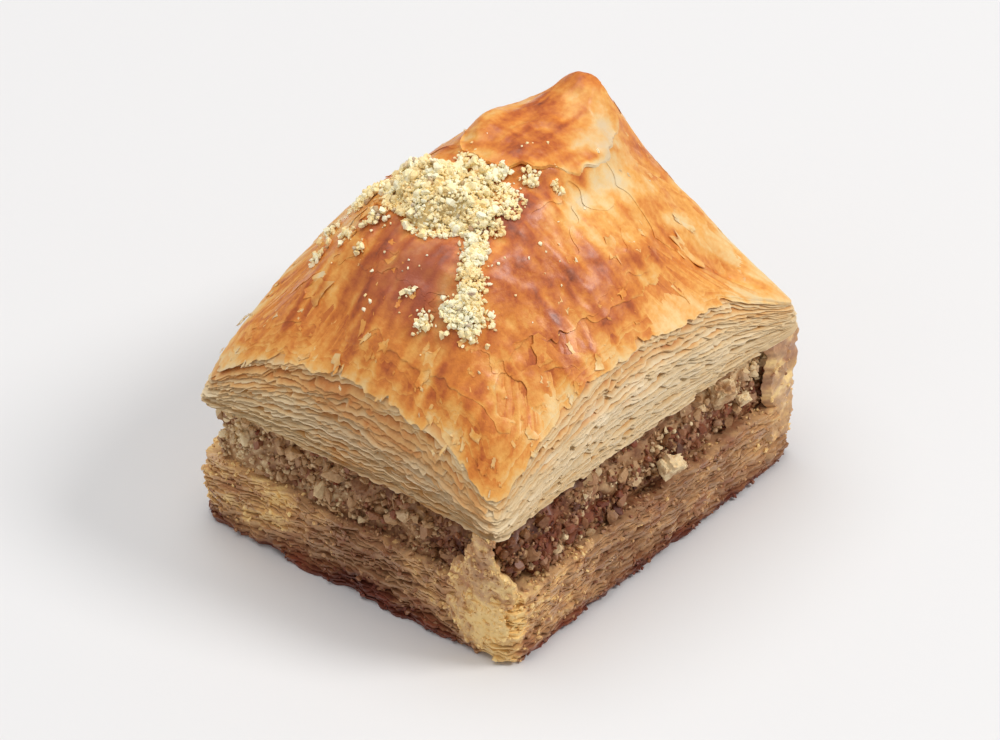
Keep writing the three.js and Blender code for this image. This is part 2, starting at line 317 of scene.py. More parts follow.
def dome(a, b):
    """Height of the cap over the square, without what lies on it."""
    x, y = in_mm(a, b)
    crown = CREST_HEIGHT - CREST_FALL * np.maximum(0, CREST_Y - y)
    runs = [
        # along the face, half its span, distance inward from it
        (y, HALF_LENGTH, HALF_WIDTH - x),
        (x, HALF_WIDTH, HALF_LENGTH - y),
        (y, HALF_LENGTH, HALF_WIDTH + x),
        (x, HALF_WIDTH, HALF_LENGTH + y),
    ]
    heights = [crown] + [
        CAP_UNDERSIDE + rim_rise(rise, peak, along, half) + slope * inward
        for (rise, peak, slope), (along, half, inward) in zip(RIMS, runs)
    ]
    lowest = np.min(heights, axis=0)
    spread = sum(np.exp(-CROWN_BLEND * (one - lowest)) for one in heights)
    smooth = lowest - np.log(spread) / CROWN_BLEND + CROWN_LIFT
    across = flap_distance(x, y)
    flap = FLAP_RISE * bell(across, np.where(across > 0, FLAP_OUTSIDE, FLAP_INSIDE))
    swell = sum(
        rise * np.exp(-((x - middle_x) ** 2 + (y - middle_y) ** 2) / radius**2)
        for middle_x, middle_y, radius, rise in SWELLS
    )
    blisters = BLISTER_HEIGHT * bumps_over(x, y, BLISTER_SIZE, BLISTER_PHASE)
    inside = np.clip((1 - np.maximum(np.abs(a), np.abs(b))) / RIM_FADE, 0, 1)
    return smooth + inside * (blisters + flap + swell)


MIDDLE = np.zeros(1)
print("dome is", dome(MIDDLE, MIDDLE).round(2), "mm high in its middle")

# %% [markdown]
# ## From numbers to meshes
#
# A shape here is three things: an array of points, an array of triangles, and
# `facts`, numbers that each point knows about itself, such as how brown it
# is. That is quick to work with and exact. `add_piece` turns a shape into a
# mesh, stores the facts as attributes for the material, and tells the frame
# which solid the piece stands for.

# %% Mesh maker
SHARP_ANGLE = 0.8
triangle_counts = {}


def add_piece(name, shape, node, finish, smooth=True):
    """Makes one mesh piece of a shape."""
    points, faces, facts = shape
    mesh = bpy.data.meshes.new(name)
    mesh.vertices.add(len(points))
    mesh.vertices.foreach_set("co", (points * MM).astype(np.float32).ravel())
    mesh.loops.add(faces.size)
    mesh.loops.foreach_set("vertex_index", faces.ravel().astype(np.int32))
    mesh.polygons.add(len(faces))
    mesh.polygons.foreach_set("loop_start", np.arange(0, faces.size, 3, dtype=np.int32))
    mesh.update(calc_edges=True)
    mesh.validate()
    if smooth:
        mesh.shade_smooth()
        mesh.set_sharp_from_angle(angle=SHARP_ANGLE)
    else:
        mesh.shade_flat()
    for fact, values in facts.items():
        layer = mesh.attributes.new(fact, "FLOAT", "POINT")
        layer.data.foreach_set("value", values.astype(np.float32))
    mesh.materials.append(finish)
    piece = add_object(name, mesh)
    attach(piece, BODY)
    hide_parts(node)
    triangle_counts[name] = len(faces)
    print(name, "has", len(faces), "triangles")


def join(*shapes):
    """Joins shapes into one."""
    offsets = np.cumsum([0] + [len(points) for points, _, _ in shapes])
    points = np.concatenate([points for points, _, _ in shapes])
    faces = np.concatenate([faces + offset for (_, faces, _), offset in zip(shapes, offsets)])
    names = shapes[0][2]
    return points, faces, {
        name: np.concatenate([facts[name] for _, _, facts in shapes]) for name in names
    }


# %% Rings and sheets
def quads(a, b, c, d):
    """Two triangles for each four corners."""
    return [np.stack([a, b, c], 1), np.stack([a, c, d], 1)]


def ring_faces(levels, points, closed=False):
    """Triangles between stacked rings; `closed` also joins the last to the first."""
    here = np.arange(points)
    after = (here + 1) % points
    faces = []
    for level in range(levels if closed else levels - 1):
        low, high = level * points, (level + 1) % levels * points
        faces += quads(low + here, low + after, high + after, high + here)
    return np.concatenate(faces)


def capped_rings(rings, bottom, top):
    """Closed solid from stacked rings, with one middle point below and above."""
    levels, points, _ = rings.shape
    low, high = levels * points, levels * points + 1
    here = np.arange(points)
    after = (here + 1) % points
    last = (levels - 1) * points
    faces = np.concatenate([
        ring_faces(levels, points),
        np.stack([np.full(points, low), after, here], 1),
        np.stack([np.full(points, high), last + here, last + after], 1),
    ])
    return np.concatenate([rings.reshape(-1, 3), [bottom, top]]), faces


def grid_faces(rows, columns):
    """Two triangles for each cell of a grid of points."""
    corner = (np.arange(rows - 1)[:, None] * columns + np.arange(columns - 1)).ravel()
    return np.concatenate(
        quads(corner, corner + 1, corner + columns + 1, corner + columns)
    )


def repeated(faces, count, points):
    """The triangles of `count` copies of a mesh that has this many points."""
    return (faces[None] + np.arange(count)[:, None, None] * points).reshape(-1, 3)


def loose_edges(faces):
    """Edges that belong to one triangle only, in that triangle's direction."""
    edges = np.concatenate([faces[:, [0, 1]], faces[:, [1, 2]], faces[:, [2, 0]]])
    _, first, counts = np.unique(
        np.sort(edges, 1), axis=0, return_index=True, return_counts=True
    )
    return edges[first[counts == 1]]


print("a grid of 3 by 3 points has", len(grid_faces(3, 3)), "triangles")


# %% [markdown]
# ## Tearing and thickening a leaf
#
# A torn leaf starts as an even grid. A number per point says how far inside
# the leaf it is; `tear` cuts every triangle along the line where that number
# is zero, so torn edges come out clean and ragged at once, not in stairs.
# `thicken` then gives the sheet an underside and a wall round its edge, so
# it is a closed solid as thin as the real leaf.

# %% Tear and thicken
CUT_MARGIN = 0.02


def tear(shape, inside):
    """Keeps what has inside > 0, cutting the triangles on the line."""
    points, faces, facts = shape
    state = inside[faces] > 0
    kept = state.sum(1)
    whole = faces[kept == 3]
    cuts = []
    for wanted in (1, 2):
        mixed = faces[kept == wanted]
        flags = state[kept == wanted] if wanted == 1 else ~state[kept == wanted]
        lone = flags.argmax(1)
        cuts.append(np.stack([mixed[np.arange(len(mixed)), (lone + k) % 3] for k in range(3)], 1))
    ends = np.concatenate([turned[:, [0, k]] for turned in cuts for k in (1, 2)])
    pairs, index = np.unique(np.sort(ends, 1), axis=0, return_inverse=True)
    start, end = pairs.T
    share = inside[start] / (inside[start] - inside[end])
    share = np.clip(share, CUT_MARGIN, 1 - CUT_MARGIN)
    fresh = mix(points[start], points[end], share[:, None])
    facts = {
        name: np.concatenate([value, mix(value[start], value[end], share)])
        for name, value in facts.items()
    }
    index = index.ravel() + len(points)
    one, two = len(cuts[0]), len(cuts[1])
    ab1, ac1, ab2, ac2 = np.split(index, [one, 2 * one, 2 * one + two])
    alone = np.stack([cuts[0][:, 0], ab1, ac1], 1)
    double = quads(ab2, cuts[1][:, 1], cuts[1][:, 2], ac2)
    faces = np.concatenate([whole, alone, *double])
    points = np.concatenate([points, fresh])
    used, renumbered = np.unique(faces, return_inverse=True)
    facts = {name: value[used] for name, value in facts.items()}
    return points[used], renumbered.reshape(-1, 3), facts


def thicken(shape, thickness, way=(0, 0, 1)):
    """Adds an underside, `thickness` below against `way`, and a wall at loose edges."""
    points, faces, facts = shape
    count = len(points)
    under = points - np.asarray(way) * thickness
    a, b = loose_edges(faces).T
    walls = quads(b, a, a + count, b + count)
    faces = np.concatenate([faces, faces[:, ::-1] + count, *walls])
    facts = {name: np.concatenate([value, value]) for name, value in facts.items()}
    return np.concatenate([points, under]), faces, facts


print("a leaf can be torn and thickened")

# %% [markdown]
# ## Shader sums as plain expressions
#
# A material is a graph of nodes, which is hard to read as a list of links.
# `Wire` wraps the output of a node, so that `1 - mask` or `speckle * 0.4` adds
# the right Math node by itself. A place is scaled through Vector Math, and
# colours are mixed, because a Math node would turn a colour grey. Every other
# node comes from one method, `Finish.node`.

# %% Wire
class Wire:
    """A node's output that can be used in sums."""

    def __init__(self, finish, socket):
        self.finish = finish
        self.socket = socket

    def sum(self, operation, first, second):
        settings = {"operation": operation}
        return self.finish.node("ShaderNodeMath", settings, {0: first, 1: second})

    def __add__(self, other):
        return self.sum("ADD", self, other)

    def __radd__(self, other):
        return self.sum("ADD", other, self)

    def __sub__(self, other):
        return self.sum("SUBTRACT", self, other)

    def __rsub__(self, other):
        return self.sum("SUBTRACT", other, self)

    def __mul__(self, other):
        return self.sum("MULTIPLY", self, other)

    def __rmul__(self, other):
        return self.sum("MULTIPLY", other, self)

    def scaled(self, scale):
        """A vector made longer or shorter."""
        settings = {"operation": "SCALE"}
        return self.finish.node("ShaderNodeVectorMath", settings, {"Vector": self, "Scale": scale})

    def step(self, low, high):
        """0 below low, 1 above high, smooth between."""
        settings = {"interpolation_type": "SMOOTHSTEP"}
        inputs = {"Value": self, "From Min": low, "From Max": high}
        return self.finish.node("ShaderNodeMapRange", settings, inputs)


print("a wire can be added, subtracted, multiplied, scaled and stepped")


# %% Finish
def tint(red, green, blue):
    """A colour named by its screen values, 0 to 255, as the linear colour of a node."""
    return tuple((value / 255) ** 2.2 for value in (red, green, blue)) + (1.0,)


class Finish:
    """One material, built node by node."""

    def __init__(self, name):
        self.material = bpy.data.materials.new(name)
        self.material.use_nodes = True
        self.tree = self.material.node_tree
        self.tree.nodes.clear()

    def node(self, kind, settings=None, inputs=None, output=0):
        made = self.tree.nodes.new(kind)
        for key, value in (settings or {}).items():
            if key == "stops":
                self.set_stops(made.color_ramp, value)
            else:
                setattr(made, key, value)
        for key, value in (inputs or {}).items():
            if isinstance(value, Wire):
                self.tree.links.new(value.socket, made.inputs[key])
            else:
                made.inputs[key].default_value = value
        return Wire(self, made.outputs[output]) if made.outputs else made

    def set_stops(self, ramp, stops):
        while len(ramp.elements) < len(stops):
            ramp.elements.new(0.5)
        for element, (place, colour) in zip(ramp.elements, stops):
            element.position = place
            element.color = colour

    def fact(self, name):
        """A number that the mesh stores for each of its points."""
        return self.node("ShaderNodeAttribute", {"attribute_name": name}, {}, "Fac")

    def speckle(self, size, detail=3.0):
        """Soft noise, 0 to 1, with features `size` millimetres across."""
        place = self.node("ShaderNodeTexCoord", {}, {}, "Object").scaled(1 / MM)
        inputs = {"Vector": place.scaled(1 / size), "Scale": 1.0, "Detail": detail}
        return self.node("ShaderNodeTexNoise", {}, {**inputs, "Roughness": 0.6}, "Fac")

    def blend(self, share, first, second):
        """Mixes two colours, which are the Mix node's inputs 6 and 7 and its output 2."""
        settings = {"data_type": "RGBA"}
        return self.node("ShaderNodeMix", settings, {0: share, 6: first, 7: second}, 2)

    def ramp(self, value, stops):
        return self.node("ShaderNodeValToRGB", {"stops": stops}, {"Fac": value}, "Color")

    def relief(self, height, depth):
        """A bump from a height in 0..1 that stands for `depth` millimetres."""
        inputs = {"Height": height, "Strength": 1.0, "Distance": depth * MM}
        return self.node("ShaderNodeBump", {}, inputs, "Normal")

    def done(self, colour, roughness, normal, coat=0.0):
        """Closes the material; `coat` is the share of syrup gloss over it."""
        inputs = {
            "Base Color": colour,
            "Roughness": roughness,
            "Normal": normal,
            "Coat Weight": coat,
            "Coat Roughness": 0.2,
            "IOR": 1.45,
        }
        shader = self.node("ShaderNodeBsdfPrincipled", {}, inputs, "BSDF")
        self.node("ShaderNodeOutputMaterial", {}, {"Surface": shader})
        return self.material


print("a screen value of 128 is", round(tint(128, 128, 128)[0], 3), "in a node")

# %% [markdown]
# ## Pastry colours
#
# One number, `bake`, runs from 0, raw-looking cream, to 1, the deepest brown.
# A colour ramp turns it into pastry, the way an oven does: cream, straw, gold,
# amber, chestnut. The soaked base has a duller ramp of its own, because the
# syrup greys it. A second number, `ruddy`, shifts the smooth scorched places
# towards red. Both are worked out for each point of the mesh, and the shader
# only adds the freckles that are finer than the mesh, and patches of syrup.
# In a few places `bake` also holds painted light: painted sheen beside the flap
# and along its broken edge, partly painted shadow below the heap, partly
# painted light at the left end of the base's front, and partly painted shade,
# with some `ruddy`, on the front of the cap's leaves.

# %% Pastry finish
CRUST_STOPS = [
    (0.00, tint(232, 208, 166)),
    (0.22, tint(240, 200, 136)),
    (0.42, tint(238, 170, 86)),
    (0.60, tint(220, 132, 56)),
    (0.80, tint(186, 94, 42)),
    (1.00, tint(124, 58, 32)),
]
LEAF_STOPS = [
    (0.00, tint(240, 218, 180)),
    (0.25, tint(234, 204, 156)),
    (0.45, tint(228, 176, 112)),
    (0.65, tint(210, 136, 72)),
    (1.00, tint(132, 66, 38)),
]
BASE_STOPS = [
    (0.00, tint(255, 217, 146)),
    (0.25, tint(214, 167, 117)),
    (0.50, tint(174, 132, 96)),
    (0.75, tint(144, 94, 62)),
    (1.00, tint(92, 44, 28)),
]
RUDDY = tint(158, 80, 58)
DRY_ROUGHNESS = 0.62
WET_GAIN = 0.2


def pastry_finish(name, stops, freckle, gloss, fine_depth):
    """Baked leaves: `freckle` is the strength of fine browning, `gloss` of the syrup."""
    finish = Finish(name)
    fine = finish.speckle(0.45, detail=4.0)
    broad = finish.speckle(1.8)
    bake = finish.fact("bake") + (fine - 0.5) * freckle + (broad - 0.5) * freckle
    colour = finish.ramp(bake, stops)
    colour = finish.blend(finish.fact("ruddy"), colour, RUDDY)
    grain = finish.speckle(0.16, detail=2.0)
    wet = finish.speckle(2.4, detail=2.0).step(0.35, 0.65)
    normal = finish.relief(fine * 0.6 + grain * 0.4, fine_depth)
    return finish.done(colour, DRY_ROUGHNESS - wet * WET_GAIN, normal, wet * gloss)


crust_finish = pastry_finish("crust", CRUST_STOPS, 0.28, 0.24, 0.06)
leaf_finish = pastry_finish("leaves", LEAF_STOPS, 0.2, 0.1, 0.04)
base_finish = pastry_finish("soaked_leaves", BASE_STOPS, 0.4, 0.5, 0.08)
print("pastry finishes:", crust_finish.name, leaf_finish.name, base_finish.name)

# %% [markdown]
# ## Nut colours
#
# Ground walnut is a mix: cream meat, tan broken faces and red-brown skin. So
# each grain carries its own `tone`, from dark to cream, and its own share of
# `skin`, to make neighbouring grains differ as they do in the real filling.
# In the filling, `tone` also holds a painted shadow just under the cap.

# %% Nut finishes
FILLING_STOPS = [
    (0.00, tint(70, 32, 14)),
    (0.25, tint(118, 72, 42)),
    (0.50, tint(162, 118, 80)),
    (0.75, tint(198, 158, 114)),
    (1.00, tint(240, 214, 168)),
]
CRUMB_STOPS = [
    (0.00, tint(240, 192, 130)),
    (0.30, tint(252, 223, 160)),
    (0.70, tint(255, 237, 184)),
    (1.00, tint(255, 248, 216)),
]
SKIN = tint(134, 66, 42)
NUT_RELIEF = 0.06


def nut_finish(name, stops, roughness, coat):
    finish = Finish(name)
    fine = finish.speckle(0.3, detail=4.0)
    colour = finish.ramp(finish.fact("tone") + (fine - 0.5) * 0.5, stops)
    colour = finish.blend(finish.fact("skin"), colour, SKIN)
    grain = finish.speckle(0.12, detail=2.0)
    normal = finish.relief(fine * 0.7 + grain * 0.3, NUT_RELIEF)
    return finish.done(colour, roughness, normal, coat)


filling_finish = nut_finish("ground_walnut", FILLING_STOPS, 0.58, 0.12)
crumb_finish = nut_finish("nut_crumbs", CRUMB_STOPS, 0.8, 0.0)
print("nut finishes:", filling_finish.name, crumb_finish.name)

# %% [markdown]
# ## Leaf edges
#
# At a cut face the leaves show as a stack of thin edges. Each one is a flat
# band that runs right round the piece, a few millimetres deep, closed on all
# sides. Its edge wanders in and out, is ragged where the knife tore it, has a
# chip missing here and there, and curls a little. The leaves above and below
# hide the rest of it, and a plain filler takes up the middle.

# %% Leaf band
LEAF_DEPTH = 3.5
LEAF_BEVEL = 0.03
CURL_DEPTH = 0.4
LEAF_POINTS = 600
LEAF_WANDER = 0.45
LEAF_RUN = 4.0
LEAF_PHASE = 1.7
LEAF_STANDOUT = 0.15
WANDER_PHASE = {"base": 3.0, "cap": 40.0}
LEAF_TURN = np.arange(LEAF_POINTS) / LEAF_POINTS
LEAF_A, LEAF_B = edge_point(LEAF_TURN)
LEAF_PLACE = in_mm(LEAF_A, LEAF_B)


def leaf_band(plan, low, high, inset, curl, backs=(0.45,)):
    """One leaf edge, a closed wedge: `low` and `high` give its faces over the square."""
    steps = [(0.05, low, LEAF_BEVEL), (0.0, high, -LEAF_BEVEL)]
    steps += [(back, high, 0.0) for back in (*backs, LEAF_DEPTH)]
    rings, spots = [], []
    for back, face, lift in steps:
        shrink = 1 - (inset + back) / HALF_WIDTH
        a, b = LEAF_A * shrink, LEAF_B * shrink
        x, y = plan_point(plan, a, b)
        rings.append(np.stack([x, y, face(a, b) + curl * fade(back, CURL_DEPTH) + lift], 1))
        spots.append(np.stack([a, b]))
    depths = np.repeat([back for back, _, _ in steps], LEAF_POINTS)
    faces = ring_faces(len(steps), LEAF_POINTS, closed=True)
    return np.concatenate(rings), faces, depths, np.concatenate(spots, 1)


def chipped(size, strength, pattern):
    """Chips out of an edge, where one bump of a pattern is high."""
    return strength * ease_in(0.3, 0.6, bumps_over(*LEAF_PLACE, size, pattern))


def leaf_inset(kind, leaf, leaves, solid_leaves, own, rag, chips):
    """How far in from the outline a leaf's edge lies, round the piece."""
    level = WANDER_PHASE[kind] + leaf / leaves * solid_leaves * LEAF_PHASE
    broad = LEAF_WANDER * (0.5 + 0.5 * bumps_over(*LEAF_PLACE, LEAF_RUN, level))
    sway = own * bumps_over(*LEAF_PLACE, 2.6, 3.1 * leaf + 0.5)
    fine = rag * rough_over(*LEAF_PLACE, 0.6, 5.7 * leaf)
    chip = chipped(1.0, chips, 2.3 * leaf + 90)
    return np.maximum(broad + sway + fine + chip, -LEAF_STANDOUT)


print("a leaf band has", 8 * LEAF_POINTS, "triangles")

# %% [markdown]
# ## The soaked base
#
# The bottom leaves have drunk the syrup. They are pressed together, so the
# gaps nearly close and their edges crumble, and the colour goes from tan at
# the top to a dark caramel line where the piece stood in its syrup. The
# lowest leaves draw back a little, but not along the front, where they have
# spread.

# %% Base colour
PALE_CORNER_X = 15.0
PALE_CORNER_WIDTH = 3.6
CARAMEL = 0.75
CARAMEL_HEIGHT = 1.3
FRONT_CARAMEL = 0.7

# How much darker the base is along its sides (from y) and its front (from x); the
# paler left end of the front is partly painted light, lifting the shade under the
# cap's corner
SIDE_SHADE = ([-13, -8, -2, 4, 12, 17], [-0.17, -0.06, 0.15, 0.07, 0.05, -0.10])
FRONT_SHADE_AND_LIGHT = ([-16, -12, -6.5, -1, 4.5, 9], [-0.28, -0.30, -0.12, 0.26, 0.0, -0.08])


def base_bake(points):
    """How dark the soaked pastry is: mottled, caramel below, pale at the front corner."""
    x, y, z = points.T
    mottle = 0.16 * rough(x, y, z, 3, 5)
    patch = 0.10 * rough_over(x, y, 3.2, z / 2.8, 2, 6)
    front = ease_in(16.5, 18, -y)
    along = mix(np.interp(y, *SIDE_SHADE), np.interp(x, *FRONT_SHADE_AND_LIGHT), front)
    corner = bell(x - PALE_CORNER_X, PALE_CORNER_WIDTH) * front
    caramel_height = CARAMEL_HEIGHT + FRONT_CARAMEL * front * bell(x + 1, 9)
    caramel = CARAMEL * bell(np.maximum(z, 0), caramel_height)
    level = 0.40 + along + mottle + patch
    return mix(level, 0.6 * mottle - 0.28, corner) + caramel * (1 - 0.7 * corner)


foot = np.array([[0.0, -19.5, 0.0]])
print("the foot of the front is baked to", base_bake(foot).round(2))

# %% Soaked base
BASE_LEAVES = 20
BASE_SOLID_LEAVES = 7
BASE_PITCH = (0.7, 1.35)
BASE_GAP = 0.015
BASE_BACKS = (0.45,)
TOP_LEAF_BACKS = (0.3, 0.7, 1.2, 1.8)
FOOT_INSET = 0.55
FRONT_SPREAD = 0.8
CORE_INSET = 2.4
CORE_POINTS = 96
CORE_BAKE = 0.85


def base_level(level, leaf):
    """Height of a leaf of the base over the square."""
    def height(a, b):
        wave = 0.14 * rough(a * 6.5, b * 7.7, 0.3 * leaf + 60, 2)
        wave = wave * np.sin(np.pi * np.clip(level / BASE_HEIGHT, 0, 1))
        crumbly = 0.14 * rough(a * 19, b * 23, 5.0, 2) * (level > BASE_HEIGHT - 0.01)
        return level + wave + crumbly
    return height


def base_core():
    """Plain closed filler behind the leaf edges."""
    a, b = edge_point(np.arange(CORE_POINTS) / CORE_POINTS)
    shrink = 1 - CORE_INSET / HALF_WIDTH
    x, y = plan_point(BASE_PLAN, a * shrink, b * shrink)
    low, high = 0.02, BASE_HEIGHT - 0.1
    rings = [np.stack([x, y, np.full(CORE_POINTS, level)], 1) for level in (low, high)]
    points, faces = capped_rings(np.array(rings), [0, 0, low], [0, 0, high])
    return points, faces, {"bake": np.full(len(points), CORE_BAKE)}


def build_base():
    """The base's shape, and the heights and insets of its leaves."""
    random = np.random.default_rng(SEED)
    bounds = np.cumsum(random.uniform(*BASE_PITCH, BASE_LEAVES + 1))
    bounds = (bounds - bounds[0]) / (bounds[-1] - bounds[0]) * BASE_HEIGHT
    parts, insets = [], []
    for leaf, (low, high) in enumerate(zip(bounds, bounds[1:])):
        inset = leaf_inset(
            "base", leaf, BASE_LEAVES, BASE_SOLID_LEAVES, own=0.05, rag=0.18, chips=0.2
        )
        foot = FOOT_INSET - FRONT_SPREAD * near(LEAF_TURN, 0.88, 0.1)
        inset = inset + foot * fade(leaf, 0.9)
        inset = inset + 0.22 * rough_over(*LEAF_PLACE, 1.2, low + 40)
        inset = np.maximum(inset, -0.2)
        insets.append(inset)
        curl = 0.04 * bumps_over(*LEAF_PLACE, 1.6, 1.3 * leaf) * (leaf > 0)
        low_face = base_level(low + BASE_GAP * (leaf > 0), leaf)
        backs = TOP_LEAF_BACKS if leaf == BASE_LEAVES - 1 else BASE_BACKS
        points, faces, depths, _ = leaf_band(
            BASE_PLAN, low_face, base_level(high, leaf), inset, curl, backs
        )
        bake = base_bake(points) + random.uniform(-0.05, 0.05) + 0.1 * (depths > 0.3)
        parts.append((points, faces, {"bake": bake}))
    points, faces, facts = join(*parts, base_core())
    x, y, z = points.T
    stains = ease_in(0.2, 0.9, rough_over(x, y, 2.4, z / 1.4, 3, 8))
    facts["ruddy"] = 0.3 * fade(np.maximum(z, 0), 1.0) + 0.35 * stains
    return (points, faces, facts), (bounds, np.array(insets))


base, BASE_EDGES = build_base()
add_piece("soaked_base", base, "base_pastry", base_finish)

# %% [markdown]
# ## Nut grains
#
# A broken nut has flat faces and sharp corners. A ball gives exactly that
# once a few random planes have pressed it flat: every point beyond a plane is
# pushed back onto it. The arrays hold all grains of a kind at once, so four
# thousand of them take a moment.

# %% Grain maker
FLAT_FACES = 7


def ball(detail):
    """Points and triangles of a round ball of radius 1."""
    mesh = bmesh.new()
    bmesh.ops.create_icosphere(mesh, subdivisions=detail, radius=1.0)
    points = np.array([vert.co[:] for vert in mesh.verts])
    faces = np.array([[vert.index for vert in face.verts] for face in mesh.faces])
    mesh.free()
    return points, faces


def turns(random, count):
    """Random rotations, as matrices."""
    q = random.normal(size=(count, 4))
    w, x, y, z = (q / np.linalg.norm(q, axis=1, keepdims=True)).T
    rows = [
        [1 - 2 * (y * y + z * z), 2 * (x * y - z * w), 2 * (x * z + y * w)],
        [2 * (x * y + z * w), 1 - 2 * (x * x + z * z), 2 * (y * z - x * w)],
        [2 * (x * z - y * w), 2 * (y * z + x * w), 1 - 2 * (x * x + y * y)],
    ]
    return np.moveaxis(np.array(rows), -1, 0)


def grains(random, middles, radii, detail, facts):
    """Broken bits, one at each of the middles, with one value of each fact for each bit."""
    ball_points, ball_faces = ball(detail)
    count = len(middles)
    shape = np.repeat(ball_points[None], count, 0)
    shape = shape * random.uniform(0.85, 1.15, (count, len(ball_points), 1))
    shape = shape * random.uniform(0.6, 1.35, (count, 1, 3))
    for _ in range(FLAT_FACES):
        way = random.normal(size=(count, 3))
        way /= np.linalg.norm(way, axis=1, keepdims=True)
        depth = random.uniform(0.3, 0.8, (count, 1))
        over = np.maximum(np.einsum("cvk,ck->cv", shape, way) - depth, 0)
        shape = shape - over[..., None] * way[:, None]
    shape = np.einsum("cvk,cjk->cvj", shape, turns(random, count))
    shape = shape * radii[:, None, None] + middles[:, None]
    faces = repeated(ball_faces, count, len(ball_points))
    facts = {name: np.repeat(values, len(ball_points)) for name, values in facts.items()}
    return shape.reshape(-1, 3), faces, facts


def varied(random, sizes, count, power):
    """Radii between two sizes, mostly near the first."""
    return sizes[0] + (sizes[1] - sizes[0]) * random.uniform(0, 1, count) ** power


print("a small grain has", len(ball(1)[1]), "triangles, a coarse one", len(ball(3)[1]))

# %% [markdown]
# ## The walnut filling
#
# The filling shows as a rough band between the layers. A lumpy core of fine
# nut paste stands where the solid is, and grains are pressed into its wall:
# mostly small, with a few coarse bits. Just under the cap the nuts have
# settled, most of all near the front corner and least along the front, and
# left a dark gap; on the sides its darkness is partly painted shadow on the
# nuts. Low beside that corner a bit fell out and left a hollow.

# %% Filling wall
GAP = 0.7
CORNER_GAP = 1.9
FRONT_GAP = -0.45
HOLLOW_DEPTH = 1.6
HOLLOW_TURN = 0.014


def filling_inset(turn, share):
    """How far in the nut wall stands at a height, from 0 at its foot to 1 at the cap."""
    x, y = in_mm(*edge_point(turn))
    height = BASE_HEIGHT + share * FILLING_HEIGHT
    lumps = 0.28 + 0.53 * bumps_over(x, y, 2.2, height / 2.2)
    gap = GAP + CORNER_GAP * near(turn, 0.0, 0.065) + FRONT_GAP * near(turn, 0.84, 0.08)
    settled = gap * ease_in(0.62, 0.95, share + 0.12 * bumps_over(x, y, 3, 4.0))
    hollow = HOLLOW_DEPTH * near(turn, HOLLOW_TURN, 0.008) * bell(share - 0.1, 0.14)
    return lumps + settled + hollow


def wall_point(turn, share, outward):
    """Place on the nut wall, or `outward` millimetres proud of it."""
    a, b = edge_point(turn)
    shrink = 1 - (filling_inset(turn, share) - outward) / HALF_WIDTH
    x, y = plan_point(FILLING_PLAN, a * shrink, b * shrink)
    return np.stack([x, y, BASE_HEIGHT + share * FILLING_HEIGHT + 0 * x], -1)


print("the filling is", round(FILLING_HEIGHT, 2), "mm high")

# %% Filling colour and core
# How much lighter the filling is along its sides (from y, in its upper part) and
# its front (from x)
SIDE_TONE = ([-14, -11, -8, -3, 2, 7, 11, 15], [-0.16, -0.10, 0.12, 0.20, 0.19, 0.28, 0.26, 0.48])
FRONT_TONE = ([-14, -10, -4, 1, 4.5, 7.5, 10, 13], [0.46, 0.28, 0.24, 0.18, 0.20, 0.04, -0.16, -0.06])


def filling_place(points):
    """x, y and z, the share of the filling's height, and 1 on the front face."""
    x, y, z = points.T
    return x, y, z, (z - BASE_HEIGHT) / FILLING_HEIGHT, ease_in(17.0, 18.2, -y)


def filling_tone_and_shade(points):
    """How much lighter or darker than average the filling is at each point, with painted shade."""
    x, y, z, rise, front = filling_place(points)
    side = np.interp(y, *SIDE_TONE) * ease_in(0.2, 0.55, rise)
    # Painted shadow: darker at the very top of the sides' front halves, the shade of the gap under
    # the cap.
    side = side - 0.3 * ease_in(0.75, 0.95, rise) * ease_in(-8, 0, -y)
    mottle = 0.12 * rough_over(x, y, 2.6, z / 1.6, 2, 9)
    return mix(side, np.interp(x, *FRONT_TONE), front) + mottle


def syrup_stain(points):
    """Share of red-brown: a glazed band low in the filling, and all of it near the corner."""
    x, y, z, rise, front = filling_place(points)
    band = np.maximum(bell(rise - 0.35, 0.3), bell(y + 13, 3.5))
    band = band * (1 - 0.6 * front)
    return 0.8 * band * ease_in(-0.3, 0.5, rough_over(x, y, 2.2, z / 1.2, 2, 10))


def build_filling_core(points=440, levels=26):
    turn = np.arange(points) / points
    x, y = in_mm(*edge_point(turn))
    rings = []
    for share in np.linspace(0, 1, levels):
        paste = 0.3 * rough_over(x, y, 0.9, share * 8, 2) * np.sin(np.pi * share)
        rings.append(wall_point(turn, np.full(points, share), paste - 0.2))
    points, faces = capped_rings(np.array(rings), [0, 0, BASE_HEIGHT], [0, 0, CAP_UNDERSIDE])
    tone = 0.34 + 0.3 * rough(*(points.T / 0.9), 3) + filling_tone_and_shade(points)
    return points, faces, {"tone": tone, "skin": syrup_stain(points)}


add_piece("filling_core", build_filling_core(), "nut_filling", filling_finish)

# %% [markdown]
# One grain in five is dark as skin, a little over half are tan broken faces,
# and the rest is cream meat. Some are stained red-brown, most of all in the
# glazed band. Three larger bits of meat, worn soft, stick out of the right
# face.

# %% Filling grains
FILLING_GRAINS = [
    # count, smallest and largest radius in mm, detail, seed
    (4000, (0.14, 0.42), 1, 2),
    (760, (0.3, 0.75), 2, 3),
    (64, (0.7, 1.2), 3, 6),
]
SKIN_TONE = 0.1
FACE_TONE = 0.48
MEAT_TONE = 0.8
SKIN_SHARE = 0.2
FACE_SHARE = 0.56
CHUNKS = [
    # middle in mm, radius in mm, tone
    ((17.5, 2.5, 10.0), 1.5, 1.0),
    ((16.9, 10.6, 12.9), 1.6, 0.78),
    ((17.3, 13.4, 10.3), 0.8, 1.0),
]


